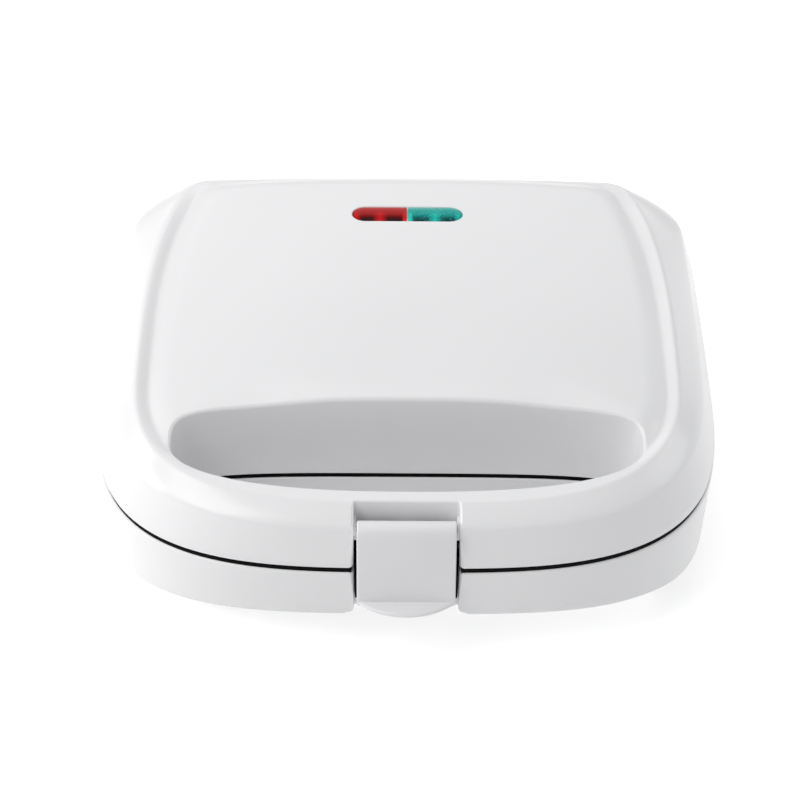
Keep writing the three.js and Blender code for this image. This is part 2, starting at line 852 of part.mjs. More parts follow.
// A round rod bent in one level plane
function bentRod(path, z, radius) {
  const count = path.length;
  const sides = 8;
  return loft(path.map((point, i) => {
    const back = path[Math.max(i - 1, 0)];
    const next = path[Math.min(i + 1, count - 1)];
    const along = new THREE.Vector2(next.x - back.x, next.y - back.y).normalize();
    return Array.from({ length: sides }, (_, k) => {
      const turn = 2 * Math.PI * k / sides;
      const across = radius * Math.cos(turn);
      return [point.x - along.y * across, point.y + along.x * across, z + radius * Math.sin(turn)];
    });
  }));
}

function buildElement() {
  const half = plateHalf - elementInset;
  const tail = elementTailSpacing / 2;
  const tailEnd = plateRearEdge + elementTail;
  const front = plateFrontEdge + elementInset;
  const rear = plateRearEdge - elementInset;
  const bend = elementBend;
  const small = tail * tailBendShare;
  const path = new THREE.Path();
  path.moveTo(-tail, tailEnd);
  path.lineTo(-tail, rear + small);
  path.absarc(-tail - small, rear + small, small, 0, -quarter, true);
  path.lineTo(bend - half, rear);
  path.absarc(bend - half, rear - bend, bend, quarter, 2 * quarter);
  path.lineTo(-half, front + bend);
  path.absarc(bend - half, front + bend, bend, 2 * quarter, 3 * quarter);
  path.lineTo(half - bend, front);
  path.absarc(half - bend, front + bend, bend, -quarter, 0);
  path.lineTo(half, rear - bend);
  path.absarc(half - bend, rear - bend, bend, 0, quarter);
  path.lineTo(tail + small, rear);
  path.absarc(tail + small, rear + small, small, -quarter, -2 * quarter, true);
  path.lineTo(tail, tailEnd);
  const points = path.getPoints(2).filter((p, i, all) => {
    return i === 0 || p.distanceTo(all[i - 1]) > weld;
  });
  return bentRod(points, pocketTop + fit + elementRadius, elementRadius);
}

// Heat shield: a pressed pan over the element, with a flange on the frame
const shieldFoot = plateBack + fit;
const shieldRoof = seamHeight + shieldRoofRise;

function buildShield() {
  const lift = (points, z) => points.map(([x, y]) => [x, y, z]);
  const wall = -shieldThickness;
  const lean = shieldThickness * 2;
  const pan = loft([
    lift(plateOutline(wall), shieldFoot),
    lift(plateOutline(wall - lean), shieldRoof - lean),
    lift(plateOutline(wall - lean * 2), shieldRoof),
  ]);
  const inside = loft([
    lift(plateOutline(wall - shieldThickness), shieldFoot - overrun),
    lift(plateOutline(wall - shieldThickness), shieldFoot),
    lift(plateOutline(wall - lean - shieldThickness), shieldRoof - lean - shieldThickness),
    lift(plateOutline(wall - lean * 2 - shieldThickness / 2), shieldRoof - shieldThickness),
  ]);
  const rim = plateOutline(shieldFlange - shieldThickness);
  const flange = prism(rim, shieldFoot, shieldFoot + shieldThickness);
  const tails = [-1, 1].map((side) => {
    const x = side * elementTailSpacing / 2;
    const half = shieldNotch / 2;
    const low = shieldFoot + shieldThickness + fit;
    return block(x - half, x + half, plateRearEdge - overrun, plateRearEdge + overrun, low, postTop);
  });
  const holes = shieldPosts.map(([x, y]) => {
    return post(x, y, postTop, shieldRoof + overrun, screwRadius + fit, smallSides);
  });
  return minus(pan.add(flange), [inside, ...tails, ...holes]);
}

// A pan-head screw standing head down at z, its shank pointing up
function screw(x, y, z, length) {
  const [face, side] = screwHeadShares;
  const profile = [
    [0, 0],
    [screwHeadRadius * face, 0],
    [screwHeadRadius, screwHeadHeight * side],
    [screwHeadRadius, screwHeadHeight],
    [screwRadius, screwHeadHeight],
    [screwRadius, screwHeadHeight + length - screwRadius],
    [0, screwHeadHeight + length],
  ];
  const geometry = lathe(profile, smallSides);
  geometry.rotateX(quarter);
  geometry.translate(x, y, z);
  return solid(geometry);
}
const flipped = (body, z) => body.translate([0, 0, -z]).mirror([0, 0, 1]).translate([0, 0, z]);

// Indicator lenses, the tray behind them and its two neon bulbs
const lensFoot = lampFace - lensDepth;
const pillRing = (half, radius, z) => pillOutline(half, radius).map(([x, y]) => [x, y, z]);

function buildLens(side) {
  const half = lampLength / 2;
  const radius = lampWidth / 2;
  const round = lensSink;
  const whole = loft([
    pillRing(half, radius, lensFoot),
    pillRing(half, radius, lampFace - round),
    pillRing(half - round / 3, radius - round / 3, lampFace - round / 3),
    pillRing(half - round, radius - round, lampFace),
  ]);
  const edge = lensDivider / 2;
  const reach = half + overrun;
  const x0 = side < 0 ? -reach : edge;
  const x1 = side < 0 ? -edge : reach;
  return whole.intersect(block(x0, x1, lampY - reach, lampY + reach, lensFoot - overrun, lampFace + overrun));
}

const trayHalf = lampLength / 2 + fit + lampTrayWall;
const trayRadius = lampWidth / 2 + fit + lampTrayWall;
const trayCeiling = seamHeight + panelTop(trayHalf, lampY + trayRadius) - shellWall;
const trayTop = trayCeiling - lampTrayClear;
const trayFloor = lensFoot - lampTrayDepth;

function buildLampTray() {
  const half = lampLength / 2;
  const radius = lampWidth / 2;
  const wall = lampTrayWall;
  const seat = lensFoot - fit;
  const body = pill(trayHalf, trayRadius, trayFloor, trayTop);
  const socket = pill(half + fit, radius + fit, seat, trayTop + overrun);
  const well = pill(half - wall, radius - wall / 2, trayFloor + wall, trayTop + overrun);
  const foot = trayFloor + wall / 2;
  const divider = block(-lensDivider, lensDivider, lampY - radius, lampY + radius, foot, seat);
  return minus(body, [socket, well.subtract(divider)]);
}

function buildBulb(side) {
  const x = side * (lampLength / 4 + lensDivider);
  const half = bulbLength / 2;
  const [face, edge] = bulbTipShares;
  const geometry = lathe([
    [0, -half],
    [bulbRadius * face, -half],
    [bulbRadius, bulbRadius * edge - half],
    ...arc(0, half - bulbRadius, bulbRadius, 0, quarter).slice(0, -1),
    [0, half],
  ], smallSides);
  geometry.rotateZ(quarter);
  geometry.translate(x, lampY, trayFloor + lampTrayWall + fit + bulbRadius);
  return solid(geometry);
}

// Front latch: a face plate hung from its head, with a thumb ledge and a hook behind
const latchFace = rimFront - latchProud;
const latchInner = latchFace + latchThickness;
const latchRear = latchFace + latchHeadDepth;
const pinY = behind(latchPinBack);
const pinZ = seamHeight + latchPinRise;
const catchUnderside = seamHeight - catchDrop - catchThickness;

function sideProfile(points, half, bevel) {
  const shape = new THREE.Shape(points.map(([y, z]) => new THREE.Vector2(y, z)));
  const geometry = new THREE.ExtrudeGeometry(shape, {
    depth: half * 2 - bevel * 2,
    bevelEnabled: bevel > 0,
    bevelSize: bevel,
    bevelThickness: bevel,
    bevelOffset: -bevel,
    bevelSegments: 2,
  });
  geometry.translate(0, 0, bevel - half);
  geometry.rotateY(quarter);
  geometry.rotateX(quarter);
  return solid(geometry);
}

function buildLatch() {
  const top = seamHeight + latchTop;
  const bottom = seamHeight - latchBottom;
  const headLow = top - latchHeadDrop;
  const round = latchCorner;
  const half = latchWidth / 2;
  const edge = latchEdge;
  const profile = [
    [latchFace, bottom],
    ...arc(latchFace + round, top - round, round, 2 * quarter, quarter),
    ...arc(latchRear - round, top - round, round, quarter, 0),
    [latchRear, headLow],
    [latchInner, headLow - round],
    [latchInner, bottom],
  ];
  const body = sideProfile(profile, half, edge);
  const rib = latchThickness;
  const cellHalf = (half - rib * 3 / 2) / 2;
  const cells = [-1, 1].map((side) => {
    const x = side * (rib / 2 + cellHalf);
    return block(x - cellHalf, x + cellHalf, latchInner, latchRear + overrun, headLow - rib, top - rib);
  });
  const chord = half - edge;
  const radius = (chord ** 2 + ledgeReach ** 2) / (2 * ledgeReach);
  const swing = Math.asin(chord / radius);
  const plan = new THREE.Shape();
  const inner = latchFace + latchThickness / 2;
  plan.moveTo(chord, inner);
  plan.lineTo(-chord, inner);
  plan.absarc(0, latchFace - ledgeReach + radius, radius, -quarter - swing, swing - quarter);
  const ledge = new THREE.ExtrudeGeometry(plan, {
    depth: ledgeThickness - edge * 2,
    bevelEnabled: true,
    bevelSize: edge,
    bevelThickness: edge,
    bevelOffset: -edge,
    bevelSegments: 2,
    curveSegments: ledgeSteps,
  });
  ledge.translate(0, 0, bottom + edge);
  const hookTop = catchUnderside - fit;
  const hook = sideProfile([
    [latchInner - edge, hookTop - hookThickness - edge],
    [latchInner - edge, hookTop],
    [latchInner + hookReach, hookTop],
    [latchInner + hookReach, hookTop - hookThickness / 3],
    [latchInner + hookReach - hookThickness * 2 / 3, hookTop - hookThickness],
  ], hookWidth / 2, 0);
  const bore = rodAlongX(-half - overrun, half + overrun, pinY, pinZ, latchPinRadius + fit);
  return minus(plus(body, [solid(ledge), hook]), [...cells, bore]);
}

const pinReach = notchHalf + shellWall - fit;
const buildLatchPin = () => rodAlongX(-pinReach, pinReach, pinY, pinZ, latchPinRadius);

// The base frame's tongue carries the catch that the latch hooks under.
function buildCatch() {
  const front = behind(notchDepth) - fit - tongueThickness;
  const slope = catchThickness / 2;
  const top = seamHeight - catchDrop;
  return sideProfile([
    [front + tongueThickness / 2, catchUnderside],
    [front - catchReach, catchUnderside],
    [front - catchReach, top - slope],
    [front - catchReach + slope, top],
    [front + tongueThickness / 2, top],
  ], hookWidth / 2, 0);
}

// Base shell: rim, wall, belly and level sole, drawn below the seam
const baseWall = (x, y) => mix(baseWallFront, baseWallSide, cornerShare(x, y));
const bellyDrop = (x, y) => mix(barUnderside, baseDrop - soleRound, cornerShare(x, y));
const soleDrop = (x, y) => mix(barUnderside, baseDrop, cornerShare(x, y));
const bellyForm = {
  ...rimForm,
  half: rimHalf - bellyInset,
  front: behind(bellyFront),
  rear: rimRear - bellyInset / 2,
  frontBow: crestFrontBow,
};
const soleForm = {
  ...bellyForm,
  half: rimHalf - soleInset,
  front: behind(openingFront),
  rear: rimRear - soleRearInset,
};
const flatForm = {
  ...soleForm,
  half: soleForm.half - soleRound,
  front: behind(openingRear),
  rear: soleForm.rear - soleRound,
  frontBow: openingRearBow,
};

function baseOuter() {
  const rim = seamGap / 2;
  const turn = soleRound;
  const [turnIn, turnDown] = turnShares;
  const belly = (x, y) => -mix(bellyDrop(x, y), soleDrop(x, y), bellyShare);
  return loft([
    ring(inset(rimForm, rimEdge), () => -rim),
    ring(rimForm, () => -rim - rimRound),
    ring(inset(rimForm, baseDraft), (x, y) => -baseWall(x, y)),
    ring(inset(rimForm, baseDraft + turn * turnIn), (x, y) => -baseWall(x, y) - turn * turnDown),
    ring(inset(rimForm, baseDraft + turn), (x, y) => -baseWall(x, y) - turn),
    ring(bellyForm, (x, y) => -bellyDrop(x, y)),
    ring(inset(bellyForm, (soleInset - bellyInset) / 2), belly),
    ring(soleForm, (x, y) => -soleDrop(x, y)),
    ring(flatForm, () => -baseDrop),
  ]);
}

function baseHollow() {
  const wall = shellWall;
  return loft([
    ring(inset(rimForm, wall), () => overrun),
    ring(inset(rimForm, wall), () => -seamGap),
    ring(inset(rimForm, baseDraft + wall), (x, y) => -baseWall(x, y)),
    ring(inset(bellyForm, wall), (x, y) => wall - bellyDrop(x, y)),
    ring(inset(soleForm, wall), (x, y) => wall - soleDrop(x, y)),
    ring(inset(flatForm, wall), () => wall - baseDrop),
  ]);
}

const footRearY = flatForm.rear - footRearMargin;
const footFrontY = flatForm.front + footFrontMargin;
const footPlaces = [footFrontY, footRearY].flatMap((y) => {
  return [-1, 1].map((side) => [side * (flatForm.half - footSideMargin), y]);
});
const shieldRests = shieldPosts.flatMap(([x, y]) => {
  return [-1, 1].map((side) => [x + side * (plateHalf - restInset), y]);
});
const soleTop = seamHeight - baseDrop + shellWall;
const bossTop = seamHeight - bossFoot;
const screwSeat = bossTop - baseScrewSeat;
const shieldBase = seamHeight - shieldRoofRise;
const glandSeat = rimRear - baseDraft;
const glandHeight = seamHeight - glandDrop;

function rodAlongY(y0, y1, x, z, radius, sides = roundSides) {
  const geometry = new THREE.CylinderGeometry(radius, radius, y1 - y0, sides);
  geometry.rotateY(Math.PI / sides);
  geometry.translate(x, (y0 + y1) / 2, z);
  return solid(geometry);
}

function buildBaseShell() {
  const low = footHeight - overrun;
  const glandBoss = glandFlange + glandFlangeThickness;
  const hollow = minus(baseHollow(), [
    openingPrism(openingWall),
    notchPrism(shellWall, low, seamHeight + overrun * 2),
    ...bossPlaces.map(([x, y]) => post(x, y, low, bossTop, bossRadius)),
    ...shieldRests.map(([x, y]) => post(x, y, low, shieldBase - fit, postRadius, smallSides)),
    rodAlongY(glandSeat - shellWall - fit, rimRear + overrun, glandSide, glandHeight, glandBoss),
  ]);
  const shell = minus(baseOuter(), [
    hollow,
    openingPrism(0),
    notchPrism(0, low, seamHeight + overrun * 2),
    mirrored(tongueSlot()),
    ...bossPlaces.map(([x, y]) => post(x, y, low, screwSeat, screwHeadRadius + fit)),
    ...bossPlaces.map(([x, y]) => post(x, y, low, seamHeight, screwRadius + fit, smallSides)),
    ...footPlaces.map(([x, y]) => post(x, y, low, soleTop + overrun, footStubRadius + fit, smallSides)),
    rodAlongY(glandSeat, rimRear + overrun, glandSide, glandHeight, glandFlange + fit),
    rodAlongY(glandSeat - overrun, rimRear, glandSide, glandHeight, glandRadius + fit),
  ]);
  const withHinge = plus(shell, hingeSides.flatMap((side) => {
    const middle = side * hingeMiddle;
    const near = lidKnuckleLength / 2 + fit;
    const far = hingeLength / 2;
    return [knuckle(middle - far, middle - near, -1), knuckle(middle + near, middle + far, -1)];
  }));
  return minus(withHinge, hingeSides.map(hingeBore));
}

function buildBaseFrame() {
  return plus(mirrored(buildFrame()), [mirrored(notchTongue(tongueDrop)), buildCatch()]);
}

function buildHingePin(side) {
  const middle = side * hingeMiddle;
  const reach = hingeLength / 2 + fit;
  const head = middle + side * reach;
  const shank = rodAlongX(middle - reach, middle + reach, hingeBack, seamHeight, hingePinRadius);
  const ends = [head, head + side * hingePinRadius].sort((a, b) => a - b);
  return shank.add(rodAlongX(ends[0], ends[1], hingeBack, seamHeight, hingeHeadRadius, smallSides));
}

function buildFoot(x, y) {
  const edge = footEdge;
  const stub = soleTop + fit * 2;
  const geometry = lathe([
    [0, 0],
    [footRadius - edge, 0],
    [footRadius, edge],
    [footRadius, footHeight - edge],
    [footRadius - edge / 2, footHeight],
    [footStubRadius, footHeight],
    [footStubRadius, stub],
    [footStubRadius * footTipShare, stub + edge],
    [0, stub + edge],
  ]);
  geometry.rotateX(quarter);
  geometry.translate(x, y, 0);
  return solid(geometry);
}

// Inlet bushing through the rear wall, left empty
function buildGland() {
  const flange = glandFlangeThickness;
  const geometry = lathe([
    [glandBore, -glandLength],
    [glandRadius - fit, -glandLength],
    [glandRadius, fit - glandLength],
    [glandRadius, fit],
    [glandFlange, fit],
    [glandFlange, flange / 2],
    [glandFlange - flange / 2, flange],
    [glandBore + flange / 2, flange],
    [glandBore, flange / 2],
    [glandBore, -glandLength],
  ]);
  geometry.translate(glandSide, glandSeat, glandHeight);
  return solid(geometry);
}

// Disc thermostat on a pocket back, with its two blades
function buildThermostat() {
  const low = pocketTop + fit;
  const x = thermostatSide;
  const y = plateMiddle;
  const [rise, across] = discShares;
  const disc = post(x, y, low, low + thermostatHeight * rise, thermostatRadius);
  const cap = post(x, y, low, low + thermostatHeight, thermostatRadius * across);
  const reach = bladeLength / 2;
  const half = bladeWidth / 2;
  const bladeLow = low + thermostatHeight * bladeShare;
  const blade = block(x - reach, x + reach, y - half, y + half, bladeLow, bladeLow + shieldThickness);
  return mirrored(plus(disc, [cap, blade]));
}

function buildFuse() {
  const z = shieldBase - fit - fuseRadius;
  const y = plateMiddle;
  const half = fuseLength / 2;
  const sleeve = rodAlongX(-half, half, y, z, fuseRadius);
  const reach = half + fuseLeadLength;
  return sleeve.add(rodAlongX(-reach, reach, y, z, fuseLeadRadius));
}

function buildTerminalBlock() {
  const half = terminalLength / 2;
  const rear = footRearY - fit;
  const body = block(-half, half, rear - terminalWidth, rear, soleTop, soleTop + terminalHeight);
  const pitch = terminalLength / 3;
  const ways = [-1, 0, 1].flatMap((side) => {
    const z = soleTop + terminalHeight / 3;
    return [
      rodAlongY(rear - terminalWidth * 2, rear + terminalWidth, side * pitch, z, terminalBore, smallSides),
      post(side * pitch, rear - terminalWidth / 2, z, soleTop + terminalHeight * 2, terminalBore, smallSides),
    ];
  });
  return minus(body, ways);
}

// Lid
place('lid_shell', geometryOf(buildLidShell()), whitePlastic);
place('lid_inner_frame', geometryOf(buildLidFrame().add(notchTongue(tongueRise))), blackNylon);
place('upper_cooking_plate', geometryOf(buildPlate()), nonStick);
place('upper_heating_element', geometryOf(buildElement()), steel);
place('upper_heat_shield', geometryOf(buildShield()), aluminised);
place('red_lamp_lens', geometryOf(buildLens(-1)), redLens);
place('green_lamp_lens', geometryOf(buildLens(1)), greenLens);
place('lamp_tray', geometryOf(buildLampTray()), whitePlastic);
place('power_neon_bulb', geometryOf(buildBulb(-1)), glass);
place('ready_neon_bulb', geometryOf(buildBulb(1)), glass);
bossPlaces.forEach(([x, y], i) => {
  place(`lid_screw_${i + 1}`, geometryOf(screw(x, y, frameLow, lidScrewLength)), steel);
});
const shieldScrewFoot = shieldRoof + fit + screwHeadHeight;
shieldPosts.forEach(([x, y], i) => {
  const body = flipped(screw(x, y, shieldScrewFoot, shieldScrewLength), shieldScrewFoot);
  place(`upper_plate_screw_${i + 1}`, geometryOf(body), steel);
  place(`lower_plate_screw_${i + 1}`, geometryOf(mirrored(body)), steel);
});

// Latch and hinge
place('front_latch', geometryOf(buildLatch()), whitePlastic);
place('latch_pin', geometryOf(buildLatchPin()), steel);
place('left_hinge_pin', geometryOf(buildHingePin(-1)), steel);
place('right_hinge_pin', geometryOf(buildHingePin(1)), steel);

// Base
place('base_shell', geometryOf(buildBaseShell()), whitePlastic);
place('base_inner_frame', geometryOf(buildBaseFrame()), blackNylon);
place('lower_cooking_plate', geometryOf(mirrored(buildPlate())), nonStick);
place('lower_heating_element', geometryOf(mirrored(buildElement())), steel);
place('lower_heat_shield', geometryOf(mirrored(buildShield())), aluminised);
place('thermostat', geometryOf(buildThermostat()), ceramic);
place('thermal_fuse', geometryOf(buildFuse()), ceramic);
place('terminal_block', geometryOf(buildTerminalBlock()), ceramic);
place('cord_inlet_bushing', geometryOf(buildGland()), rubber);
bossPlaces.forEach(([x, y], i) => {
  const length = seamHeight - seamGap / 2 - screwSeat;
  const foot = screwSeat - fit - screwHeadHeight;
  place(`base_screw_${i + 1}`, geometryOf(screw(x, y, foot, length)), steel);
});
footPlaces.forEach(([x, y], i) => {
  place(`rubber_foot_${i + 1}`, geometryOf(buildFoot(x, y)), rubber);
});

export default group;
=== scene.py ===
# Two-slice sandwich maker: fine housings, lamps and latch, and finishes for the plates and the rest of the
# imported model.
import json
import math

import bmesh
import bpy
import numpy as np
from mathutils import Matrix, Vector
from mathutils.bvhtree import BVHTree


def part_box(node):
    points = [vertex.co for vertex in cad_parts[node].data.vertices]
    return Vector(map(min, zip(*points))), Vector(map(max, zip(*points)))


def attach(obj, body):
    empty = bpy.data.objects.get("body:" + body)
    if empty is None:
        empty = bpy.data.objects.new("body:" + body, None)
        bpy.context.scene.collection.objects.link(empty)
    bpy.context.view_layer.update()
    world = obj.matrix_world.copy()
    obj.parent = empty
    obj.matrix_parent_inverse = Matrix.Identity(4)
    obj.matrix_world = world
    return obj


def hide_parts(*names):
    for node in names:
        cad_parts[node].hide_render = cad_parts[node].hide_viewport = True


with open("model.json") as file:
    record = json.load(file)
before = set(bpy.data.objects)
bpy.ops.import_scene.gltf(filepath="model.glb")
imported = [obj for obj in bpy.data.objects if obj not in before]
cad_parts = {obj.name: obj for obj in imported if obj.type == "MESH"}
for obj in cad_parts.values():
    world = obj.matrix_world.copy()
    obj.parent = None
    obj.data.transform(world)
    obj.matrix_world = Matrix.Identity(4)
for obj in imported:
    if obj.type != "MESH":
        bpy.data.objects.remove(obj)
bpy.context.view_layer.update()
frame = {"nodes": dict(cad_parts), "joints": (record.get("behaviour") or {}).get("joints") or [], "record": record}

# Places and sizes in millimetres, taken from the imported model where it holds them


def corners(node):
    """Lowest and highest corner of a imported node."""
    return [np.array(corner) * 1000 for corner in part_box(node)]


def centre(node):
    low, high = corners(node)
    return (low + high) / 2


HINGE = next(joint for joint in frame["joints"] if joint["name"] == "lid_hinge")["pos_m"]
HINGE_Y, SEAM = HINGE[1] * 1000, HINGE[2] * 1000
RIM_HALF = corners("base_shell")[1][0]
HINGE_MIDDLE = RIM_HALF - 60.5
LEDGE_REACH, LATCH_PROUD = 6.9, 1.5
LATCH_FACE = corners("front_latch")[0][1] + LEDGE_REACH
RIM_FRONT = LATCH_FACE + LATCH_PROUD
RIM_REAR = RIM_FRONT + 206
LID_RISE = corners("lid_shell")[1][2] - SEAM
BASE_DROP = 38.0
SEAM_EDGE = {1: 0.6, -1: 1.4}
WALL = 2.2
VALLEY, VALLEY_DEPTH, PILLOW = 4.0, 1.7, 9.0
SOLE_ROUND, BASE_DRAFT = 3.0, 2.0
PEAK_BACK = 66
PEAK = RIM_REAR - PEAK_BACK
LAMP_Y = centre("red_lamp_lens")[1] - 0.6
LAMP_HALF, LAMP_RADIUS = 20.8, 4.95
LAMP_FOOT = corners("red_lamp_lens")[0][2]
LATCH_HALF = corners("front_latch")[1][0]
LATCH_INNER, LATCH_REAR = LATCH_FACE + 3, LATCH_FACE + 8
LATCH_BOTTOM, LATCH_HEAD_LOW = corners("front_latch")[0][2], SEAM + 7.5
LATCH_TOP = corners("front_latch")[1][2] + 1.25
HOOK_TOP = SEAM - 7.5
PIN_Y, PIN_Z = centre("latch_pin")[1:]
NOTCH_HALF, NOTCH_DEPTH = LATCH_HALF + 1.1, 9.8
SCREWS = [centre(f"base_screw_{i}")[:2] for i in range(1, 5)]
FEET = [centre(f"rubber_foot_{i}")[:2] for i in range(1, 5)]
GLAND_Z = centre("cord_inlet_bushing")[2]
TAPER_POWER = 3
RING_STEPS = (56, 14, 26, 22)
COARSE = (20, 6, 8, 8)
OPENING_STEPS = (60, 2, 26, 24)
EDGE_ROUND, EDGE_TOP = 0.8, 1.7
OPENING_FOOT, NOTCH_FOOT = 0.4, 0.9
LAMP_HOLE_HALF, LAMP_HOLE_RADIUS = 21.0, 5.2
LENS_GAP, FAR = 0.25, 40
LUG_RADIUS, LUG_HEIGHT, LUG_BORE = 4, 9, 1.9
SIDES = (("left", -1), ("right", 1))
# Each lug of a hinge: its name, its body, where it starts and ends along the pin, and its direction
LUGS = (("lid", "lid", -6, 6, 1), ("inner", "base", -15, -6.3, -1), ("outer", "base", 6.3, 15, -1))


def behind(distance):
    return RIM_FRONT + distance


# Outlines


def inset(form, d):
    out = dict(form, half=form["half"] - d, front=form["front"] + d, rear=form["rear"] - d)
    for bow_name in ("bow", "rear_bow"):
        if bow_name in form:
            out[bow_name] = form[bow_name] - d
    return out


RIM = dict(half=RIM_HALF, front=RIM_FRONT, rear=RIM_REAR, bow=106, power=3.26, round=23, taper=1.8)
LID_WALL = dict(inset(RIM, 1.4), half=RIM_HALF - 4.9)
CREST = dict(half=RIM_HALF - 16.1, front=behind(9.5), rear=RIM_REAR - 7, bow=68, power=3, round=10, taper=13)
OPENING = dict(half=RIM_HALF - 30.2, front=behind(15.2), rear=behind(53.0), bow=23.4, power=2.4,
               rear_bow=14.4, rear_power=3.7)
BELLY = dict(RIM, half=RIM_HALF - 18, front=behind(11), rear=RIM_REAR - 9, bow=68)
SOLE = dict(BELLY, half=RIM_HALF - 26, front=behind(15.2), rear=RIM_REAR - 22)
FLAT = dict(SOLE, half=SOLE["half"] - SOLE_ROUND, front=behind(53.6), rear=SOLE["rear"] - SOLE_ROUND, bow=15)


def bow(power, steps):
    """Points of a quarter superellipse from its end on the axis to its side, evenly spaced."""
    turn = np.linspace(0, math.pi / 2, 900)
    x = np.sin(turn) ** (2 / power)
    y = np.cos(turn) ** (2 / power)
    run = np.concatenate([[0], np.cumsum(np.hypot(np.diff(x), np.diff(y)))])
    at = np.linspace(0, run[-1], steps + 1)
    return np.interp(at, run, x), np.interp(at, run, y)


def side_half(form, y):
    """Half the width along the side, which narrows towards the rear."""
    start = form["front"] + form["bow"]
    run = np.clip((y - start) / (form["rear"] - start), 0, 1)
    return form["half"] - form.get("taper", 0) * run ** TAPER_POWER


def rear_corner(form):
    """Middle of a rear corner's arc, and the lean of the side where the arc starts."""
    y = form["rear"] - form["round"]
    run = form["rear"] - form["front"] - form["bow"]
    slope = TAPER_POWER * form["taper"] / run * ((y - form["front"] - form["bow"]) / run) ** (TAPER_POWER - 1)
    lean = math.atan(slope)
    start = y + form["round"] * math.sin(lean)
    return side_half(form, start) - form["round"] * math.cos(lean), y, lean


def rear_half(form, bend_steps, edge_steps):
    """The rear from its side to its middle: a round corner and a straight edge, or one bow."""
    if "round" not in form:
        x, y = bow(form["rear_power"], bend_steps + edge_steps)
        return np.column_stack([form["half"] * x, form["rear"] - form["rear_bow"] * (1 - y)])[::-1]
    x, y, lean = rear_corner(form)
    turn = np.linspace(lean, math.pi / 2, bend_steps + 1)
    bend = np.column_stack([x + form["round"] * np.cos(turn), y + form["round"] * np.sin(turn)])
    edge = np.linspace(x, 0, edge_steps + 1)[1:]
    return np.vstack([bend, np.column_stack([edge, np.full(edge_steps, form["rear"])])])


def outline(form, steps=RING_STEPS):
    """A closed ring, anticlockwise from the front: a superelliptic bow, two sides and the rear."""
    front_steps, side_steps, bend_steps, edge_steps = steps
    x, y = bow(form["power"], front_steps)
    start = form["front"] + form["bow"]
    right = [np.column_stack([form["half"] * x, start - form["bow"] * y])]
    rear = rear_half(form, bend_steps, edge_steps)
    if rear[0][1] - start > 0.01:
        side = np.linspace(start, rear[0][1], side_steps + 1)[1:-1]
        right += [np.column_stack([side_half(form, side), side]), rear]
    else:
        right.append(rear[1:])
    right = np.vstack(right)
    return np.vstack([right, right[-2:0:-1] * (-1, 1)])


def rear_edge(form, x):
    """Where the rear edge of a form lies, at a place across it."""
    past = min(max(abs(x) - rear_corner(form)[0], 0), form["round"])
    return form["rear"] - form["round"] + math.sqrt(form["round"] ** 2 - past ** 2)


def ease(value):
    t = np.clip(value, 0, 1)
    return t * t * (3 - 2 * t)


def mix(a, b, share):
    return a + (b - a) * share


def normals_2d(ring):
    """Outward unit normals of an anticlockwise ring."""
    along = np.roll(ring, -1, 0) - np.roll(ring, 1, 0)
    out = np.column_stack([along[:, 1], -along[:, 0]])
    return out / np.linalg.norm(out, axis=1)[:, None]


# Heights above and below the seam. A pair of heights holds at the middle of the front bar, and at
# the sides and the rear.

WALL_TOP, CREST_TOP = (16.1, 18.3), (22.8, 32.4)
BASE_WALL, BELLY_DROP, SOLE_DROP = (20.3, 30), (25, BASE_DROP - SOLE_ROUND), (25, BASE_DROP)
CREST_RUN, CREST_REAR, CREST_REAR_FALL = 105, 31.8, 2.2
PANEL_FALL_AHEAD, PANEL_FALL_PAST, PANEL_FALL_ACROSS, PANEL_POWER = 3.2, 2.6, 6.2, 2.5
REAR_START, REAR_RUN = RIM_REAR - 41, 34
PILLOW_START, PILLOW_RUN, PILLOW_POWER = behind(26.9), 26.8, 2.4
VALLEY_START, VALLEY_RUN = behind(20), 18


def corner_share(x, y):
    """0 at the middle of the front bar, 1 at the sides and behind the hand opening."""
    side = np.minimum(np.abs(x / RIM_HALF), 1) ** 3
    return 1 - (1 - side) * (1 - ease((y - OPENING["front"]) / (OPENING["rear"] - OPENING["front"])))


def wall_top(x, y):
    return mix(*WALL_TOP, corner_share(x, y))


def crest_top(y):
    run = np.clip((y - CREST["front"]) / CREST_RUN, 0, 1)
    return mix(*CREST_TOP, np.sin(run * math.pi / 2))


def panel_top(x, y):
    ahead = np.maximum(PEAK - y, 0) / (PEAK - OPENING["rear"])
    past = np.maximum(y - PEAK, 0) / PEAK_BACK
    across = np.abs(x / CREST["half"]) ** PANEL_POWER
    return LID_RISE - PANEL_FALL_AHEAD * ahead ** 2 - PANEL_FALL_PAST * past ** 2 - PANEL_FALL_ACROSS * across


def rear_share(y):
    return ease((y - REAR_START) / REAR_RUN)


def crest_height(x, y):
    rear = CREST_REAR - CREST_REAR_FALL * (x / CREST["half"]) ** 2
    return mix(crest_top(y), rear, rear_share(y))


def pillow_share(y):
    return ease((y - PILLOW_START) / PILLOW_RUN)


def valley_share(y):
    return ease((y - VALLEY_START) / VALLEY_RUN)


def valley_height(x, y):
    side = crest_height(x, y) - VALLEY_DEPTH * valley_share(y)
    return mix(side, panel_top(x, y) - VALLEY_DEPTH, rear_share(y))


def base_wall(x, y):
    return mix(*BASE_WALL, corner_share(x, y))


def belly_drop(x, y):
    return mix(*BELLY_DROP, corner_share(x, y))


def sole_drop(x, y):
    return mix(*SOLE_DROP, corner_share(x, y))


# Mesh helpers


def new_object(name, verts, faces):
    mesh = bpy.data.meshes.new(name)
    mesh.from_pydata([tuple(v) for v in verts], [], faces)
    mesh.update()
    obj = bpy.data.objects.new(name, mesh)
    bpy.context.scene.collection.objects.link(obj)
    return obj


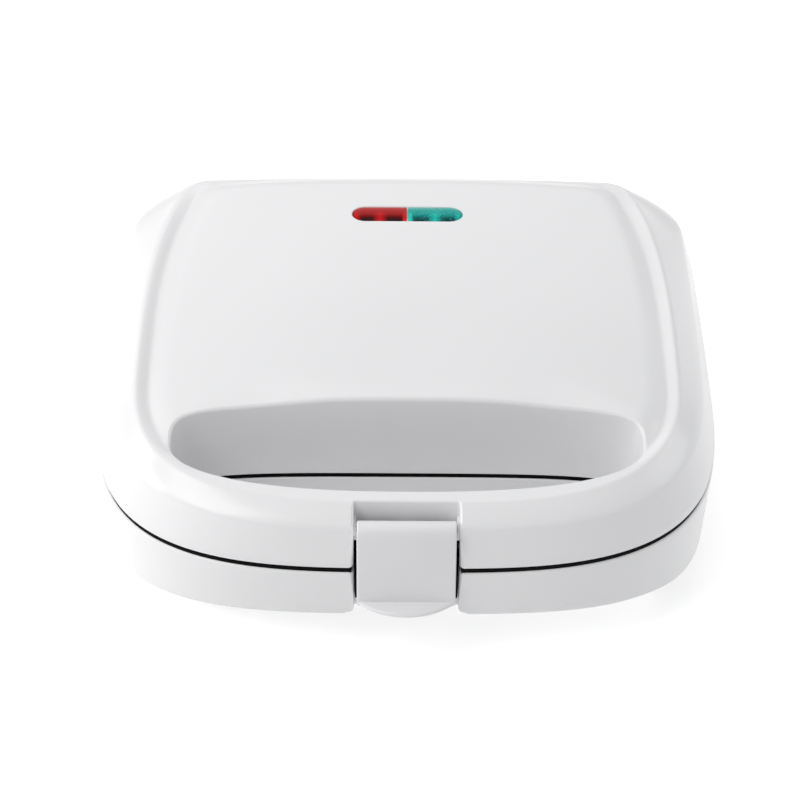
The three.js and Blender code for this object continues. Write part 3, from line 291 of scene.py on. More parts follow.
def loft(name, rings, fans=True):
    """A closed skin through rings of equal counts, capped by fans or by single faces. Rings are in
    millimetres."""
    count = len(rings[0])
    verts = [p for ring in rings for p in ring]
    faces = []
    for r in range(len(rings) - 1):
        for i in range(count):
            a, b = r * count + i, r * count + (i + 1) % count
            faces.append((a, b, b + count, a + count))
    last = (len(rings) - 1) * count
    if fans:
        verts += [np.mean(rings[0], axis=0), np.mean(rings[-1], axis=0)]
        for i in range(count):
            j = (i + 1) % count
            faces.append((len(verts) - 2, j, i))
            faces.append((len(verts) - 1, last + i, last + j))
    else:
        faces += [tuple(range(count))[::-1], tuple(range(last, last + count))]
    obj = new_object(name, np.array(verts) * 0.001, faces)
    face_out(obj)
    return obj


def face_out(obj):
    bm = bmesh.new()
    bm.from_mesh(obj.data)
    bmesh.ops.remove_doubles(bm, verts=bm.verts, dist=1e-7)
    bmesh.ops.recalc_face_normals(bm, faces=bm.faces)
    if bm.calc_volume(signed=True) < 0:
        bmesh.ops.reverse_faces(bm, faces=bm.faces)
    bm.to_mesh(obj.data)
    bm.free()


def ring_at(form, height, steps=RING_STEPS):
    ring = outline(form, steps)
    z = height(ring[:, 0], ring[:, 1]) if callable(height) else np.full(len(ring), float(height))
    return np.column_stack([ring, SEAM + z])


def prism(name, ring, low, high):
    return loft(name, [np.column_stack([ring, np.full(len(ring), low)]),
                       np.column_stack([ring, np.full(len(ring), high)])])


def cylinder(name, x, y, low, high, radius, sides=32):
    turn = np.arange(sides) * 2 * math.pi / sides
    ring = np.column_stack([x + radius * np.cos(turn), y + radius * np.sin(turn)])
    return prism(name, ring, low, high)


def rod(name, axis, start, end, a, b, radius, sides=32):
    """A rod along x or y from start to end; a and b are its other two coordinates."""
    turn = np.arange(sides) * 2 * math.pi / sides
    rings = []
    for at in (start, end):
        c, s = a + radius * np.cos(turn), b + radius * np.sin(turn)
        full = np.full(sides, float(at))
        rings.append(np.column_stack([full, c, s] if axis == "x" else [c, full, s]))
    return loft(name, rings)


def rectangle(x0, x1, y0, y1):
    return np.array([(x0, y0), (x1, y0), (x1, y1), (x0, y1)])


def slab(name, x0, x1, profile, edge=0.0, steps=5):
    """A profile in depth and height, anticlockwise, swept across; edge rounds its two ends."""
    out = normals_2d(profile)
    rings = []
    for end, inward in ((x0, 1), (x1, -1)):
        turns = np.linspace(0, math.pi / 2, steps + 1) if edge else [math.pi / 2]
        part = []
        for turn in turns:
            x = end + inward * edge * (1 - math.cos(turn)) if edge else end
            ring = profile - out * edge * (1 - math.sin(turn))
            part.append(np.column_stack([np.full(len(ring), x), ring]))
        rings += part[::inward]
    return loft(name, rings, fans=False)


def arc_points(y, z, radius, start, end, steps=12):
    turn = np.radians(np.linspace(start, end, steps + 1))
    return [(y + radius * math.cos(t), z + radius * math.sin(t)) for t in turn]


def split_edges(obj, degrees=35):
    obj.data.shade_smooth()
    split = obj.modifiers.new("smooth", "EDGE_SPLIT")
    split.split_angle = math.radians(degrees)
    return obj


def boolean(obj, other, operation="DIFFERENCE"):
    mod = obj.modifiers.new("cut", "BOOLEAN")
    mod.object = other
    mod.operation = operation
    mod.solver = "EXACT"
    apply_modifiers(obj)
    close_gaps(obj)
    bpy.data.objects.remove(other, do_unlink=True)
    return obj


def close_gaps(obj):
    """Fills the slivers that a cut can leave open, so that the next cut finds a closed skin."""
    bm = bmesh.new()
    bm.from_mesh(obj.data)
    bmesh.ops.remove_doubles(bm, verts=bm.verts, dist=1e-7)
    wire = [edge for edge in bm.edges if not edge.link_faces]
    bmesh.ops.delete(bm, geom=wire, context="EDGES")
    rims = [edge for edge in bm.edges if edge.is_boundary]
    if rims:
        bmesh.ops.holes_fill(bm, edges=rims, sides=0)
    bm.to_mesh(obj.data)
    bm.free()


def apply_modifiers(obj):
    graph = bpy.context.evaluated_depsgraph_get()
    mesh = bpy.data.meshes.new_from_object(obj.evaluated_get(graph))
    obj.modifiers.clear()
    old = obj.data
    obj.data = mesh
    bpy.data.meshes.remove(old)


def skin_of(obj):
    """A copy of a skin's triangles and smooth normals, to shade the cut piece by."""
    mesh = obj.data
    mesh.calc_loop_triangles()
    co = np.empty(len(mesh.vertices) * 3)
    mesh.vertices.foreach_get("co", co)
    no = np.empty(len(mesh.vertices) * 3)
    mesh.vertices.foreach_get("normal", no)
    tri = [tuple(t.vertices) for t in mesh.loop_triangles]
    tree = BVHTree.FromPolygons([tuple(c) for c in co.reshape(-1, 3)], tri)
    return tree, co.reshape(-1, 3), no.reshape(-1, 3), tri


def shade_from(obj, skins, near=1.2e-4, aligned=0.9, trusted=0.6):
    """Each corner takes the smooth normal of the skin that its face was cut from. A skin counts when
    it is near and aligned with the face, and its normal when it doesn't turn far from the face's."""
    mesh = obj.data
    mesh.shade_smooth()
    normals = []
    for poly in mesh.polygons:
        best = None
        for tree, co, no, tri in skins:
            hit, _, index, dist = tree.find_nearest(poly.center)
            if hit is None or dist > near:
                continue
            a, b, c = (Vector(co[k]) for k in tri[index])
            flat = (b - a).cross(c - a).normalized()
            score = abs(flat.dot(poly.normal)) - dist * 1000
            if abs(flat.dot(poly.normal)) > aligned and (best is None or score > best[0]):
                best = (score, tree, co, no, tri, flat.dot(poly.normal) < 0)
        for loop in poly.loop_indices:
            normal = poly.normal.copy()
            if best:
                _, tree, co, no, tri, turned = best
                point = mesh.vertices[mesh.loops[loop].vertex_index].co
                hit, _, index, _ = tree.find_nearest(point)
                a, b, c = (Vector(co[k]) for k in tri[index])
                w = weights(hit, a, b, c)
                n = sum((Vector(no[k]) * w[i] for i, k in enumerate(tri[index])), Vector())
                if n.length > 1e-6:
                    n.normalize()
                    n = -n if turned else n
                    if n.dot(poly.normal) > trusted:
                        normal = n
            normals.append(normal)
    mesh.normals_split_custom_set([tuple(n) for n in normals])


def weights(p, a, b, c):
    v0, v1, v2 = b - a, c - a, p - a
    d00, d01, d11 = v0.dot(v0), v0.dot(v1), v1.dot(v1)
    d20, d21 = v2.dot(v0), v2.dot(v1)
    den = d00 * d11 - d01 * d01
    if abs(den) < 1e-24:
        return (1, 0, 0)
    v = (d11 * d20 - d01 * d21) / den
    w = (d00 * d21 - d01 * d20) / den
    return (1 - v - w, v, w)


def dress(obj, body, slot, *nodes):
    """Gives a piece its material, body and slot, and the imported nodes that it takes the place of."""
    obj.data.materials.clear()
    obj.data.materials.append(materials[slot])
    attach(obj, body)
    if nodes:
        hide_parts(*nodes)
    return obj


# Flared cutters: a straight wall that turns outwards into the surface at its top


def surface_height(skin, up=1):
    """A function for the height where a ray from above, or from below, meets the skin."""
    tree = skin[0]
    start = 0.2 if up > 0 else -0.1

    def height(x, y):
        origin = Vector((x * 0.001, y * 0.001, start))
        hit = tree.ray_cast(origin, Vector((0, 0, -up)))
        return None if hit[0] is None else hit[0].z * 1000

    return height


def flared_cutter(name, ring, radius, height, low, steps=7, end=78, up=1, foot=0.0):
    """ring: anticlockwise outline of the hole. The last two rings run on past the surface. foot is
    the radius of a second, smaller flare at the seam. A ring close to the low cap keeps the cap from
    tilting the wall's smooth normals."""
    cap_ring, mouth, outer, past = 0.5, 1.25, 1.3, 25
    out = normals_2d(ring)
    radius = np.broadcast_to(np.asarray(radius, float), (len(ring),))
    tops = []
    for (x, y), (nx, ny), r in zip(ring, out, radius):
        z = height(x + nx * r, y + ny * r)
        tops.append(z if z is not None else np.nan)
    tops = np.array(tops)
    known = ~np.isnan(tops)
    if not known.all():
        index = np.arange(len(tops))
        tops = np.interp(index, index[known], tops[known], period=len(tops))
    count = len(ring)
    rings = [np.column_stack([ring + out * foot, np.full(count, z)]) for z in (low, low + up * cap_ring)]
    if foot:
        for turn in np.linspace(0, math.pi / 2, 6):
            z = SEAM + up * (SEAM_EDGE[up] + foot * (1 - math.cos(turn)))
            rings.append(np.column_stack([ring + out * foot * (1 - math.sin(turn)), np.full(count, z)]))
    for k in range(steps + 1):
        turn = math.radians(end) * k / steps
        off = radius * (1 - math.cos(turn))
        z = tops - up * radius + up * radius * math.sin(turn)
        rings.append(np.column_stack([ring + out * off[:, None], z]))
    rings.append(np.column_stack([ring + out * (radius * mouth)[:, None], tops + up * 0.4 * radius]))
    rings.append(np.column_stack([ring + out * (radius * outer)[:, None], tops + up * past]))
    return loft(name, rings)


def notch_ring(growth=0.0, steps=10):
    """The latch's notch from above, with round corners at its mouth and small ones at its back."""
    half, back, mouth = NOTCH_HALF + growth, behind(NOTCH_DEPTH + growth), RIM_FRONT - growth
    r, corner, far = 2.2, 0.8, RIM_FRONT - 12
    turn = np.linspace(0, math.pi / 2, steps)
    left = [(-half - r + r * math.cos(t), mouth + r - r * math.sin(t)) for t in turn]
    right = [(half + r - r * math.sin(t), mouth + r - r * math.cos(t)) for t in turn]
    bend = np.linspace(0, math.pi / 2, 5)
    back_right = [(half - corner + corner * math.cos(t), back - corner + corner * math.sin(t)) for t in bend]
    back_left = [(corner - half - corner * math.sin(t), back - corner + corner * math.cos(t)) for t in bend]
    points = [(-half - r, far), (half + r, far)] + right + back_right + back_left + left
    return np.array(points)


def pill_ring(half, radius, steps=24):
    right = np.linspace(-math.pi / 2, math.pi / 2, steps)
    points = [(half - radius + radius * math.cos(t), LAMP_Y + radius * math.sin(t)) for t in right]
    points += [(radius - half - radius * math.cos(t), LAMP_Y - radius * math.sin(t)) for t in right]
    return np.array(points)


# Lid housing


def rim_edge(up):
    """Rings of the rounded edge at the seam; up is 1 for the lid and -1 for the base."""
    return [
        ring_at(inset(RIM, EDGE_ROUND * (1 - math.sin(turn))),
                up * (SEAM_EDGE[up] + EDGE_ROUND * (1 - math.cos(turn))))
        for turn in np.linspace(0, math.pi / 2, 5)
    ]


def flank(steps=20):
    """Rings of one convex sweep from the top of the wall, over a soft shoulder, to the crest."""
    shoulder, crest_out, crest_low = (2.2, 3.6), 0.8, 0.35
    foot, wall, crest = outline(RIM), outline(LID_WALL), outline(inset(CREST, -crest_out))
    top = wall_top(*wall.T)
    rise = mix(*shoulder, corner_share(*wall.T))
    lean = (wall - foot) * (rise / (top - EDGE_TOP))[:, None]
    start = np.column_stack([wall, top])
    bend = np.column_stack([wall + lean, top + rise])
    end = np.column_stack([crest, crest_height(*outline(CREST).T) - crest_low])
    rings = []
    for t in np.linspace(0, 1, steps + 1)[1:] ** 1.25:
        ring = start * (1 - t) ** 2 + bend * 2 * t * (1 - t) + end * t ** 2
        rings.append(ring + (0, 0, SEAM))
    return rings


def valley_rings():
    """Rings over the rounded crest and down into the valley. Each of the first three lies so far
    inside the crest's outline, and so far below its height."""
    rings = [
        ring_at(inset(CREST, across), lambda x, y, d=drop: crest_height(x, y) - d)
        for across, drop in ((-0.35, 0.1), (0.1, 0.0), (0.6, 0.1))
    ]
    for t in np.linspace(0, 1, 7)[1:]:
        def dip(x, y, t=t):
            return mix(crest_height(x, y) - 0.1, valley_height(x, y), ease(t) * 0.5 + t * 0.5)
        rings.append(ring_at(inset(CREST, mix(0.6, VALLEY, t)), dip))
    return rings


def pillow_rings():
    """Rings from the valley up onto the crowned panel, and on to its middle."""
    rings = []
    for t in np.linspace(0, 1, 10)[1:]:
        def pillow(x, y, t=t):
            rise = 1 - (1 - t) ** PILLOW_POWER
            return mix(valley_height(x, y), panel_top(x, y), rise * pillow_share(y))
        rings.append(ring_at(inset(CREST, VALLEY + PILLOW * t), pillow))
    form = inset(CREST, VALLEY + PILLOW)
    edge = outline(form)
    middle = (form["front"] + form["rear"]) / 2
    for t in np.linspace(1, 0.04, 22)[1:]:
        x, y = edge[:, 0] * t, mix(middle, edge[:, 1], t)
        valley = valley_height(*edge.T)
        rim_z = mix(valley, panel_top(*edge.T), pillow_share(edge[:, 1]))
        drop = (panel_top(*edge.T) - rim_z) * ease((t - 0.55) / 0.45)
        rings.append(np.column_stack([x, y, SEAM + panel_top(x, y) - drop]))
    return rings


def lid_skin():
    walls = [
        np.column_stack([mix(outline(RIM), outline(LID_WALL), t),
                         SEAM + mix(EDGE_TOP, wall_top(*outline(LID_WALL).T), t)])
        for t in np.linspace(0.2, 1, 5)
    ]
    return loft("lid_skin", rim_edge(1) + walls + flank() + valley_rings() + pillow_rings())


def lid_hollow():
    top = inset(CREST, VALLEY + PILLOW)
    hollow = loft("lid_hollow", [
        ring_at(inset(RIM, WALL), -12, COARSE),
        ring_at(inset(RIM, WALL), 1.8, COARSE),
        ring_at(inset(LID_WALL, WALL), wall_top, COARSE),
        ring_at(inset(CREST, WALL), lambda x, y: crest_height(x, y) - VALLEY_DEPTH - WALL, COARSE),
        ring_at(inset(CREST, WALL + VALLEY), lambda x, y: valley_height(x, y) - WALL, COARSE),
        ring_at(top, lambda x, y: mix(valley_height(x, y), panel_top(x, y), pillow_share(y)) - WALL, COARSE),
        ring_at(inset(top, 30), lambda x, y: panel_top(x, y) - WALL - 1.0, COARSE),
    ])
    boolean(hollow, prism("wall", outline(inset(OPENING, -2)), SEAM - 30, SEAM + 60))
    boolean(hollow, prism("wall", notch_ring(WALL), SEAM - 30, SEAM + 60))
    return hollow


def opening_radius(ring):
    """The edge of the hand opening, a little softer behind than along the front bar and at the ends."""
    front, rear, ends = 1.4, 1.9, 1.3
    across = ease((np.abs(ring[:, 0]) / OPENING["half"] - 0.6) / 0.4)
    back = ease((ring[:, 1] - OPENING["front"]) / (OPENING["rear"] - OPENING["front"]))
    return mix(mix(front, rear, back), ends, across)


def build_lid():
    lid = lid_skin()
    skin = skin_of(lid)
    height = surface_height(skin)
    ring = outline(OPENING, OPENING_STEPS)
    opening = flared_cutter("opening", ring, opening_radius(ring), height, SEAM - 10, foot=OPENING_FOOT)
    notch = flared_cutter("notch", notch_ring(), radius=0.7, height=height, low=SEAM - 10, steps=4,
                          foot=NOTCH_FOOT)
    lamp = flared_cutter("lamp", pill_ring(LAMP_HOLE_HALF, LAMP_HOLE_RADIUS), radius=0.35, height=height,
                         low=SEAM + 30, steps=4)
    skins = [skin, skin_of(opening), skin_of(notch), skin_of(lamp)]
    boolean(lid, lid_hollow())
    for cutter in (opening, notch, lamp):
        boolean(lid, cutter)
    shade_from(lid, skins)
    lid.name = "lid_housing"
    return lid


# Base housing


def base_skin():
    rings = rim_edge(-1)
    for t in np.linspace(0.2, 1, 5):
        def wall(x, y, t=t):
            return -mix(EDGE_TOP, base_wall(x, y), t)
        rings.append(ring_at(inset(RIM, BASE_DRAFT * t), wall))
    bend_in, bend_down = 0.4, 3.4
    start = ring_at(inset(RIM, BASE_DRAFT), lambda x, y: -base_wall(x, y))
    bend = ring_at(inset(RIM, BASE_DRAFT + bend_in), lambda x, y: -base_wall(x, y) - bend_down)
    belly = ring_at(BELLY, lambda x, y: -belly_drop(x, y))
    for t in np.linspace(0, 1, 15)[1:] ** 1.2:
        rings.append(start * (1 - t) ** 2 + bend * 2 * t * (1 - t) + belly * t ** 2)
    middle = ring_at(inset(BELLY, 4), lambda x, y: -mix(belly_drop(x, y), sole_drop(x, y), 0.8))
    sole = ring_at(SOLE, lambda x, y: -sole_drop(x, y))
    flat = ring_at(FLAT, -BASE_DROP)
    for low, high, steps in ((belly, middle, 4), (middle, sole, 4), (sole, flat, 7)):
        rings += [mix(low, high, t) for t in np.linspace(0, 1, steps + 1)[1:]]
    return loft("base_skin", rings)


def base_hollow():
    hollow = loft("base_hollow", [
        ring_at(inset(RIM, WALL), 12, COARSE),
        ring_at(inset(RIM, WALL), -1.8, COARSE),
        ring_at(inset(RIM, BASE_DRAFT + WALL), lambda x, y: -base_wall(x, y), COARSE),
        ring_at(inset(BELLY, WALL), lambda x, y: WALL - belly_drop(x, y), COARSE),
        ring_at(inset(SOLE, WALL), lambda x, y: WALL - sole_drop(x, y), COARSE),
        ring_at(inset(FLAT, WALL), WALL - BASE_DROP, COARSE),
    ])
    boolean(hollow, prism("wall", outline(inset(OPENING, -2)), SEAM - 60, SEAM + 30))
    boolean(hollow, prism("wall", notch_ring(WALL), SEAM - 60, SEAM + 30))
    for x, y in SCREWS:
        boolean(hollow, cylinder("boss", x, y, low=-10, high=SEAM - 3, radius=4.4))
    boolean(hollow, rod("boss", "y", RIM_REAR - 4.5, RIM_REAR + 12, 0, GLAND_Z, radius=8.8))
    return hollow


def build_base():
    base = base_skin()
    skin = skin_of(base)
    height = surface_height(skin, -1)
    ring = outline(OPENING, OPENING_STEPS)
    opening = flared_cutter("opening", ring, radius=1.6, height=height, low=SEAM + 10, up=-1,
                            foot=OPENING_FOOT)
    notch = flared_cutter("notch", notch_ring(), radius=2.8, height=height, low=SEAM + 10, steps=10, end=87,
                          up=-1, foot=NOTCH_FOOT)
    skins = [skin, skin_of(opening), skin_of(notch)]
    boolean(base, base_hollow())
    for cutter in (opening, notch):
        boolean(base, cutter)
    for x, y in SCREWS:
        boolean(base, cylinder("bore", x, y, low=-10, high=SEAM - 14.35, radius=3.5))
    for x, y in FEET:
        boolean(base, cylinder("bore", x, y, low=-10, high=8.5, radius=3.3))
    boolean(base, rod("bore", "y", RIM_REAR - BASE_DRAFT, RIM_REAR + 12, 0, GLAND_Z, radius=7.1))
    boolean(base, rod("bore", "y", RIM_REAR - 15, RIM_REAR, 0, GLAND_Z, radius=5.0))
    shade_from(base, skins)
    base.name = "base_housing"
    return base


# Fine black lips of the inner frames, which show in the seam


def seam_lip(name, up):
    """A ring along the seam outside, and one round the hand opening; up is 1 for the lid's."""
    half_gap, hidden, setback, rim_depth, opening_depth = 0.12, 0.4, 0.7, 3, 2.6
    low, high = sorted((SEAM + up * half_gap, SEAM + up * (SEAM_EDGE[up] + hidden)))
    rings = ((inset(RIM, setback), inset(RIM, rim_depth)),
             (inset(OPENING, -opening_depth), inset(OPENING, -setback)))
    pieces = []
    for outer, inner in rings:
        lip = prism(name, outline(outer), low, high)
        boolean(lip, prism("hole", outline(inner), low - 1, high + 1))
        boolean(lip, prism("hole", notch_ring(setback), low - 1, high + 1))
        pieces.append(lip)
    whole = boolean(pieces[0], pieces[1], "UNION")
    whole.name = name
    return split_edges(whole)


# Latch


def latch_profile():
    """The face plate and the head that hangs on the pin, in depth and height."""
    slope, rear, face = 2.6, 4.5, 3.4
    return np.array(
        [(LATCH_FACE, LATCH_BOTTOM), (LATCH_INNER, LATCH_BOTTOM), (LATCH_INNER, LATCH_HEAD_LOW - slope),
         (LATCH_REAR, LATCH_HEAD_LOW)]
        + arc_points(LATCH_REAR - rear, LATCH_TOP - rear, rear, 0, 90)
        + arc_points(LATCH_FACE + face, LATCH_TOP - face, face, 90, 180))


def latch_ledge():
    """The thumb ledge: a slice of a disc at the foot of the face."""
    half, reach, root, edge = LATCH_HALF - 0.5, LEDGE_REACH, LATCH_FACE + 1.5, 0.8
    radius = (half ** 2 + reach ** 2) / (2 * reach)
    swing = math.degrees(math.asin(half / radius))
    front = arc_points(0, LATCH_FACE - reach + radius, radius, -90 - swing, -90 + swing, 40)
    ring = np.array(front + [(half, root), (-half, root)])
    out = normals_2d(ring)
    rings = []
    for turn in np.linspace(-math.pi / 2, math.pi / 2, 9):
        z = LATCH_BOTTOM + edge + edge * math.sin(turn)
        rings.append(np.column_stack([ring - out * edge * (1 - math.cos(turn)), np.full(len(ring), z)]))
    return loft("ledge", rings, fans=False)


def build_latch():
    """The plate with two cells in its head, the hook behind it, the ledge and the pin's bore."""
    latch = slab("latch_plate", -LATCH_HALF, LATCH_HALF, latch_profile(), edge=0.6)
    cell_middle, cell_half, cell_rear = 7.775, 6.275, LATCH_REAR + 3
    cell = rectangle(LATCH_INNER, cell_rear, LATCH_HEAD_LOW - 3, LATCH_TOP - 3.8)
    for middle in (-cell_middle, cell_middle):
        boolean(latch, slab("cell", middle - cell_half, middle + cell_half, cell))
    hook_half, root, bend, tip = 12, LATCH_INNER - 0.5, LATCH_INNER + 3.3, LATCH_INNER + 5.3
    hook = np.array([(root, HOOK_TOP - 3.5), (bend, HOOK_TOP - 3), (tip, HOOK_TOP - 1), (tip, HOOK_TOP),
                     (root, HOOK_TOP)])
    boolean(latch, slab("hook", -hook_half, hook_half, hook), "UNION")
    boolean(latch, latch_ledge(), "UNION")
    boolean(latch, rod("bore", "x", -30, 30, PIN_Y, PIN_Z, radius=1.8))
    return split_edges(latch, 30)


def latch_cheek(name, side):
    """A small boss of the lid beside the latch, round the end of its pin."""
    start, end, corner = LATCH_HALF + 0.25, NOTCH_HALF + 0.6, 1.5
    x0, x1 = sorted((side * start, side * end))
    low, high = PIN_Z - 1.8, PIN_Z + 3.6
    front, rear = RIM_FRONT + 2.4, behind(NOTCH_DEPTH + 0.5)
    profile = np.array(
        [(rear, low), (rear, high)] + arc_points(front + corner, high - corner, corner, 90, 180, 5)
        + arc_points(front + corner, low + corner, corner, 180, 270, 5))
    return split_edges(slab(name, x0, x1, profile))


# Hinge lugs on the rear walls


def hinge_lug(name, x0, x1, up):
    """A barrel round the hinge pin with the web that carries it; up is 1 on the lid, -1 on the base."""
    rings = []
    for x in np.linspace(x0, x1, 3):
        wall = rear_edge(RIM, x)
        points = [(wall - WALL, SEAM + up * SEAM_EDGE[up])]
        for t in np.linspace(-math.pi / 2, math.radians(26), 16):
            points.append((HINGE_Y + LUG_RADIUS * math.cos(t), SEAM + up * LUG_RADIUS * math.sin(t)))
        points += [(wall, SEAM + up * LUG_HEIGHT), (wall - WALL, SEAM + up * LUG_HEIGHT)]
        rings.append(np.array([(x, y, z) for y, z in points]))
    lug = loft(name, rings)
    boolean(lug, rod("bore", "x", x0 - 5, x1 + 5, HINGE_Y, SEAM, LUG_BORE))
    return lug


# Materials


def material(name):
    mat = bpy.data.materials.new(name)
    mat.use_nodes = True
    nodes = mat.node_tree.nodes
    shader = nodes["Principled BSDF"]
    return mat, nodes, mat.node_tree.links, shader


def coordinates(nodes, links, scale=(1, 1, 1)):
    where = nodes.new("ShaderNodeTexCoord")
    mapping = nodes.new("ShaderNodeMapping")
    mapping.inputs["Scale"].default_value = scale
    links.new(where.outputs["Object"], mapping.inputs["Vector"])
    return mapping.outputs["Vector"]


def noise(nodes, links, vector, scale, detail=4, rough=0.5):
    tex = nodes.new("ShaderNodeTexNoise")
    tex.inputs["Scale"].default_value = scale
    tex.inputs["Detail"].default_value = detail
    tex.inputs["Roughness"].default_value = rough
    links.new(vector, tex.inputs["Vector"])
    return tex.outputs["Fac"]


def greys(*stops):
    """Stops of a ramp that are plain greys."""
    return [(position, (value,) * 3) for position, value in stops]


def ramp(nodes, links, value, stops):
    node = nodes.new("ShaderNodeValToRGB")
    first, last = node.color_ramp.elements
    first.position, first.color = stops[0][0], (*stops[0][1], 1)
    last.position, last.color = stops[-1][0], (*stops[-1][1], 1)
    for position, color in stops[1:-1]:
        node.color_ramp.elements.new(position).color = (*color, 1)
    links.new(value, node.inputs["Fac"])
    return node.outputs["Color"]


def spread(nodes, links, value, low, high):
    node = nodes.new("ShaderNodeMapRange")
    node.inputs["From Min"].default_value = 0.15
    node.inputs["From Max"].default_value = 0.85
    node.inputs["To Min"].default_value = low
    node.inputs["To Max"].default_value = high
    links.new(value, node.inputs["Value"])
    return node.outputs["Result"]


def bump(nodes, links, height, strength, distance):
    node = nodes.new("ShaderNodeBump")
    node.inputs["Strength"].default_value = strength
    node.inputs["Distance"].default_value = distance
    links.new(height, node.inputs["Height"])
    return node.outputs["Normal"]


def moulded_plastic(name, dark, light, rough, coat=0.0, shine=0.5):
    """Moulded plastic: a faint tint that drifts, a shallow ripple of the mould and uneven gloss."""
    mat, nodes, links, shader = material(name)
    where = coordinates(nodes, links)
    drift = noise(nodes, links, where, 9, 2)
    links.new(ramp(nodes, links, drift, [(0.15, dark), (0.85, light)]), shader.inputs["Base Color"])
    sheen = noise(nodes, links, where, 30, 2, 0.5)
    links.new(spread(nodes, links, sheen, rough - 0.03, rough + 0.03), shader.inputs["Roughness"])
    ripple = noise(nodes, links, where, 240, 1, 0.5)
    links.new(bump(nodes, links, ripple, 0.05, 0.0001), shader.inputs["Normal"])
    shader.inputs["IOR"].default_value = 1.49
    shader.inputs["Specular IOR Level"].default_value = shine
    shader.inputs["Coat Weight"].default_value = coat
    shader.inputs["Coat Roughness"].default_value = 0.12
    return mat


def place_share(nodes, links, axis, low, high, mirrored=False):
    """How far a point lies from low to high, in millimetres along an axis of the object."""
    where = nodes.new("ShaderNodeTexCoord")
    split = nodes.new("ShaderNodeSeparateXYZ")
    links.new(where.outputs["Object"], split.inputs[0])
    value = split.outputs[axis]
    if mirrored:
        value = calculate(nodes, links, "ABSOLUTE", value)
    node = nodes.new("ShaderNodeMapRange")
    node.inputs["From Min"].default_value = low * 0.001
    node.inputs["From Max"].default_value = high * 0.001
    links.new(value, node.inputs["Value"])
    return node.outputs["Result"]


def calculate(nodes, links, operation, *values):
    node = nodes.new("ShaderNodeMath")
    node.operation = operation
    for socket, value in zip(node.inputs, values):
        if isinstance(value, (int, float)):
            socket.default_value = value
        else:
            links.new(value, socket)
    return node.outputs[0]


def blend_colors(nodes, links, share, first, second):
    node = nodes.new("ShaderNodeMix")
    node.data_type = "RGBA"
    links.new(share, node.inputs[0])
    links.new(first, node.inputs[6])
    links.new(second, node.inputs[7])
    return node.outputs[2]


def lens_plastic(name, shades, highlight_color, bubbles=0.0):
    """Clear coloured lens, with the light that runs through it painted into its colour: painted shade at
    the front edge, a pale rear edge, and painted highlights in the middle of its length, at its divider and near
    its outer ends."""
    mat, nodes, links, shader = material(name)
    across = place_share(nodes, links, "Y", LAMP_Y - LAMP_RADIUS, LAMP_Y + LAMP_RADIUS)
    along = place_share(nodes, links, "X", 0, LAMP_HALF, mirrored=True)
    top, pale = shades[-2:]
    # Painted shade and light across the lens: its colours run from dark at the front edge to pale at the rear
    # edge.
    color = ramp(nodes, links, across, list(zip((0.04, 0.2, 0.42, 0.74, 0.87, 0.98), shades)))
    # Colour of the painted highlights, turning to the rear edge's colour at the back.
    glow = ramp(nodes, links, across, [(0.0, highlight_color), (0.75, highlight_color), (1.0, top)])
    # Where the painted highlights lie along each half: at the divider, in the middle and near the outer end.
    highlight_spots = ramp(nodes, links, along, greys(
        (0.0, 0.9), (0.07, 1.0), (0.1, 0.0), (0.36, 0.0), (0.5, 0.8), (0.64, 0.0), (0.84, 0.0),
        (0.93, 0.75), (1.0, 0.3)))
    # The painted highlights are strongest at the front edge and gone towards the rear.
    highlight_fade = ramp(nodes, links, across, greys((0.0, 1.0), (0.4, 0.75), (0.62, 0.15), (0.9, 0.0)))
    share = calculate(nodes, links, "MULTIPLY", highlight_spots, highlight_fade)
    color = blend_colors(nodes, links, share, color, glow)
    # Bubbles in the plastic as light specks, tinted from the painted highlight colour at the front to the pale
    # rear.
    if bubbles:
        where = coordinates(nodes, links)
        cells = nodes.new("ShaderNodeTexVoronoi")
        cells.inputs["Scale"].default_value = 1100
        links.new(where, cells.inputs["Vector"])
        sparks = ramp(nodes, links, cells.outputs["Distance"], greys((0.1, bubbles), (0.42, 0.0)))
        spark_color = ramp(nodes, links, across, [(0.0, highlight_color), (1.0, pale)])
        color = blend_colors(nodes, links, sparks, color, spark_color)
    links.new(color, shader.inputs["Base Color"])
    ripple = noise(nodes, links, coordinates(nodes, links), 700, 2)
    links.new(bump(nodes, links, ripple, 0.15, 0.0002), shader.inputs["Normal"])
    links.new(spread(nodes, links, ripple, 0.08, 0.16), shader.inputs["Roughness"])
    shader.inputs["IOR"].default_value = 1.49
    shader.inputs["Specular IOR Level"].default_value = 0.08
    return mat


def metal(name, dark, light, rough, stretch=(1, 1, 1)):
    mat, nodes, links, shader = material(name)
    where = coordinates(nodes, links, stretch)
    streak = noise(nodes, links, where, 320, 6, 0.65)
    links.new(ramp(nodes, links, streak, [(0.25, dark), (0.75, light)]), shader.inputs["Base Color"])
    links.new(spread(nodes, links, streak, rough - 0.08, rough + 0.1), shader.inputs["Roughness"])
    links.new(bump(nodes, links, streak, 0.12, 0.00005), shader.inputs["Normal"])
    shader.inputs["Metallic"].default_value = 1.0
    return mat


def coated_plate(name):
    """Dark non-stick coating: a fine pebbled skin with a soft sheen and lighter specks."""
    mat, nodes, links, shader = material(name)
    where = coordinates(nodes, links)
    pebble = noise(nodes, links, where, 900, 4, 0.6)
    links.new(ramp(nodes, links, pebble, [(0.35, (0.014, 0.014, 0.015)), (0.62, (0.024, 0.024, 0.026)),
                                          (0.8, (0.05, 0.05, 0.052))]), shader.inputs["Base Color"])
    links.new(spread(nodes, links, pebble, 0.32, 0.5), shader.inputs["Roughness"])
    links.new(bump(nodes, links, pebble, 0.2, 0.00008), shader.inputs["Normal"])
    return mat


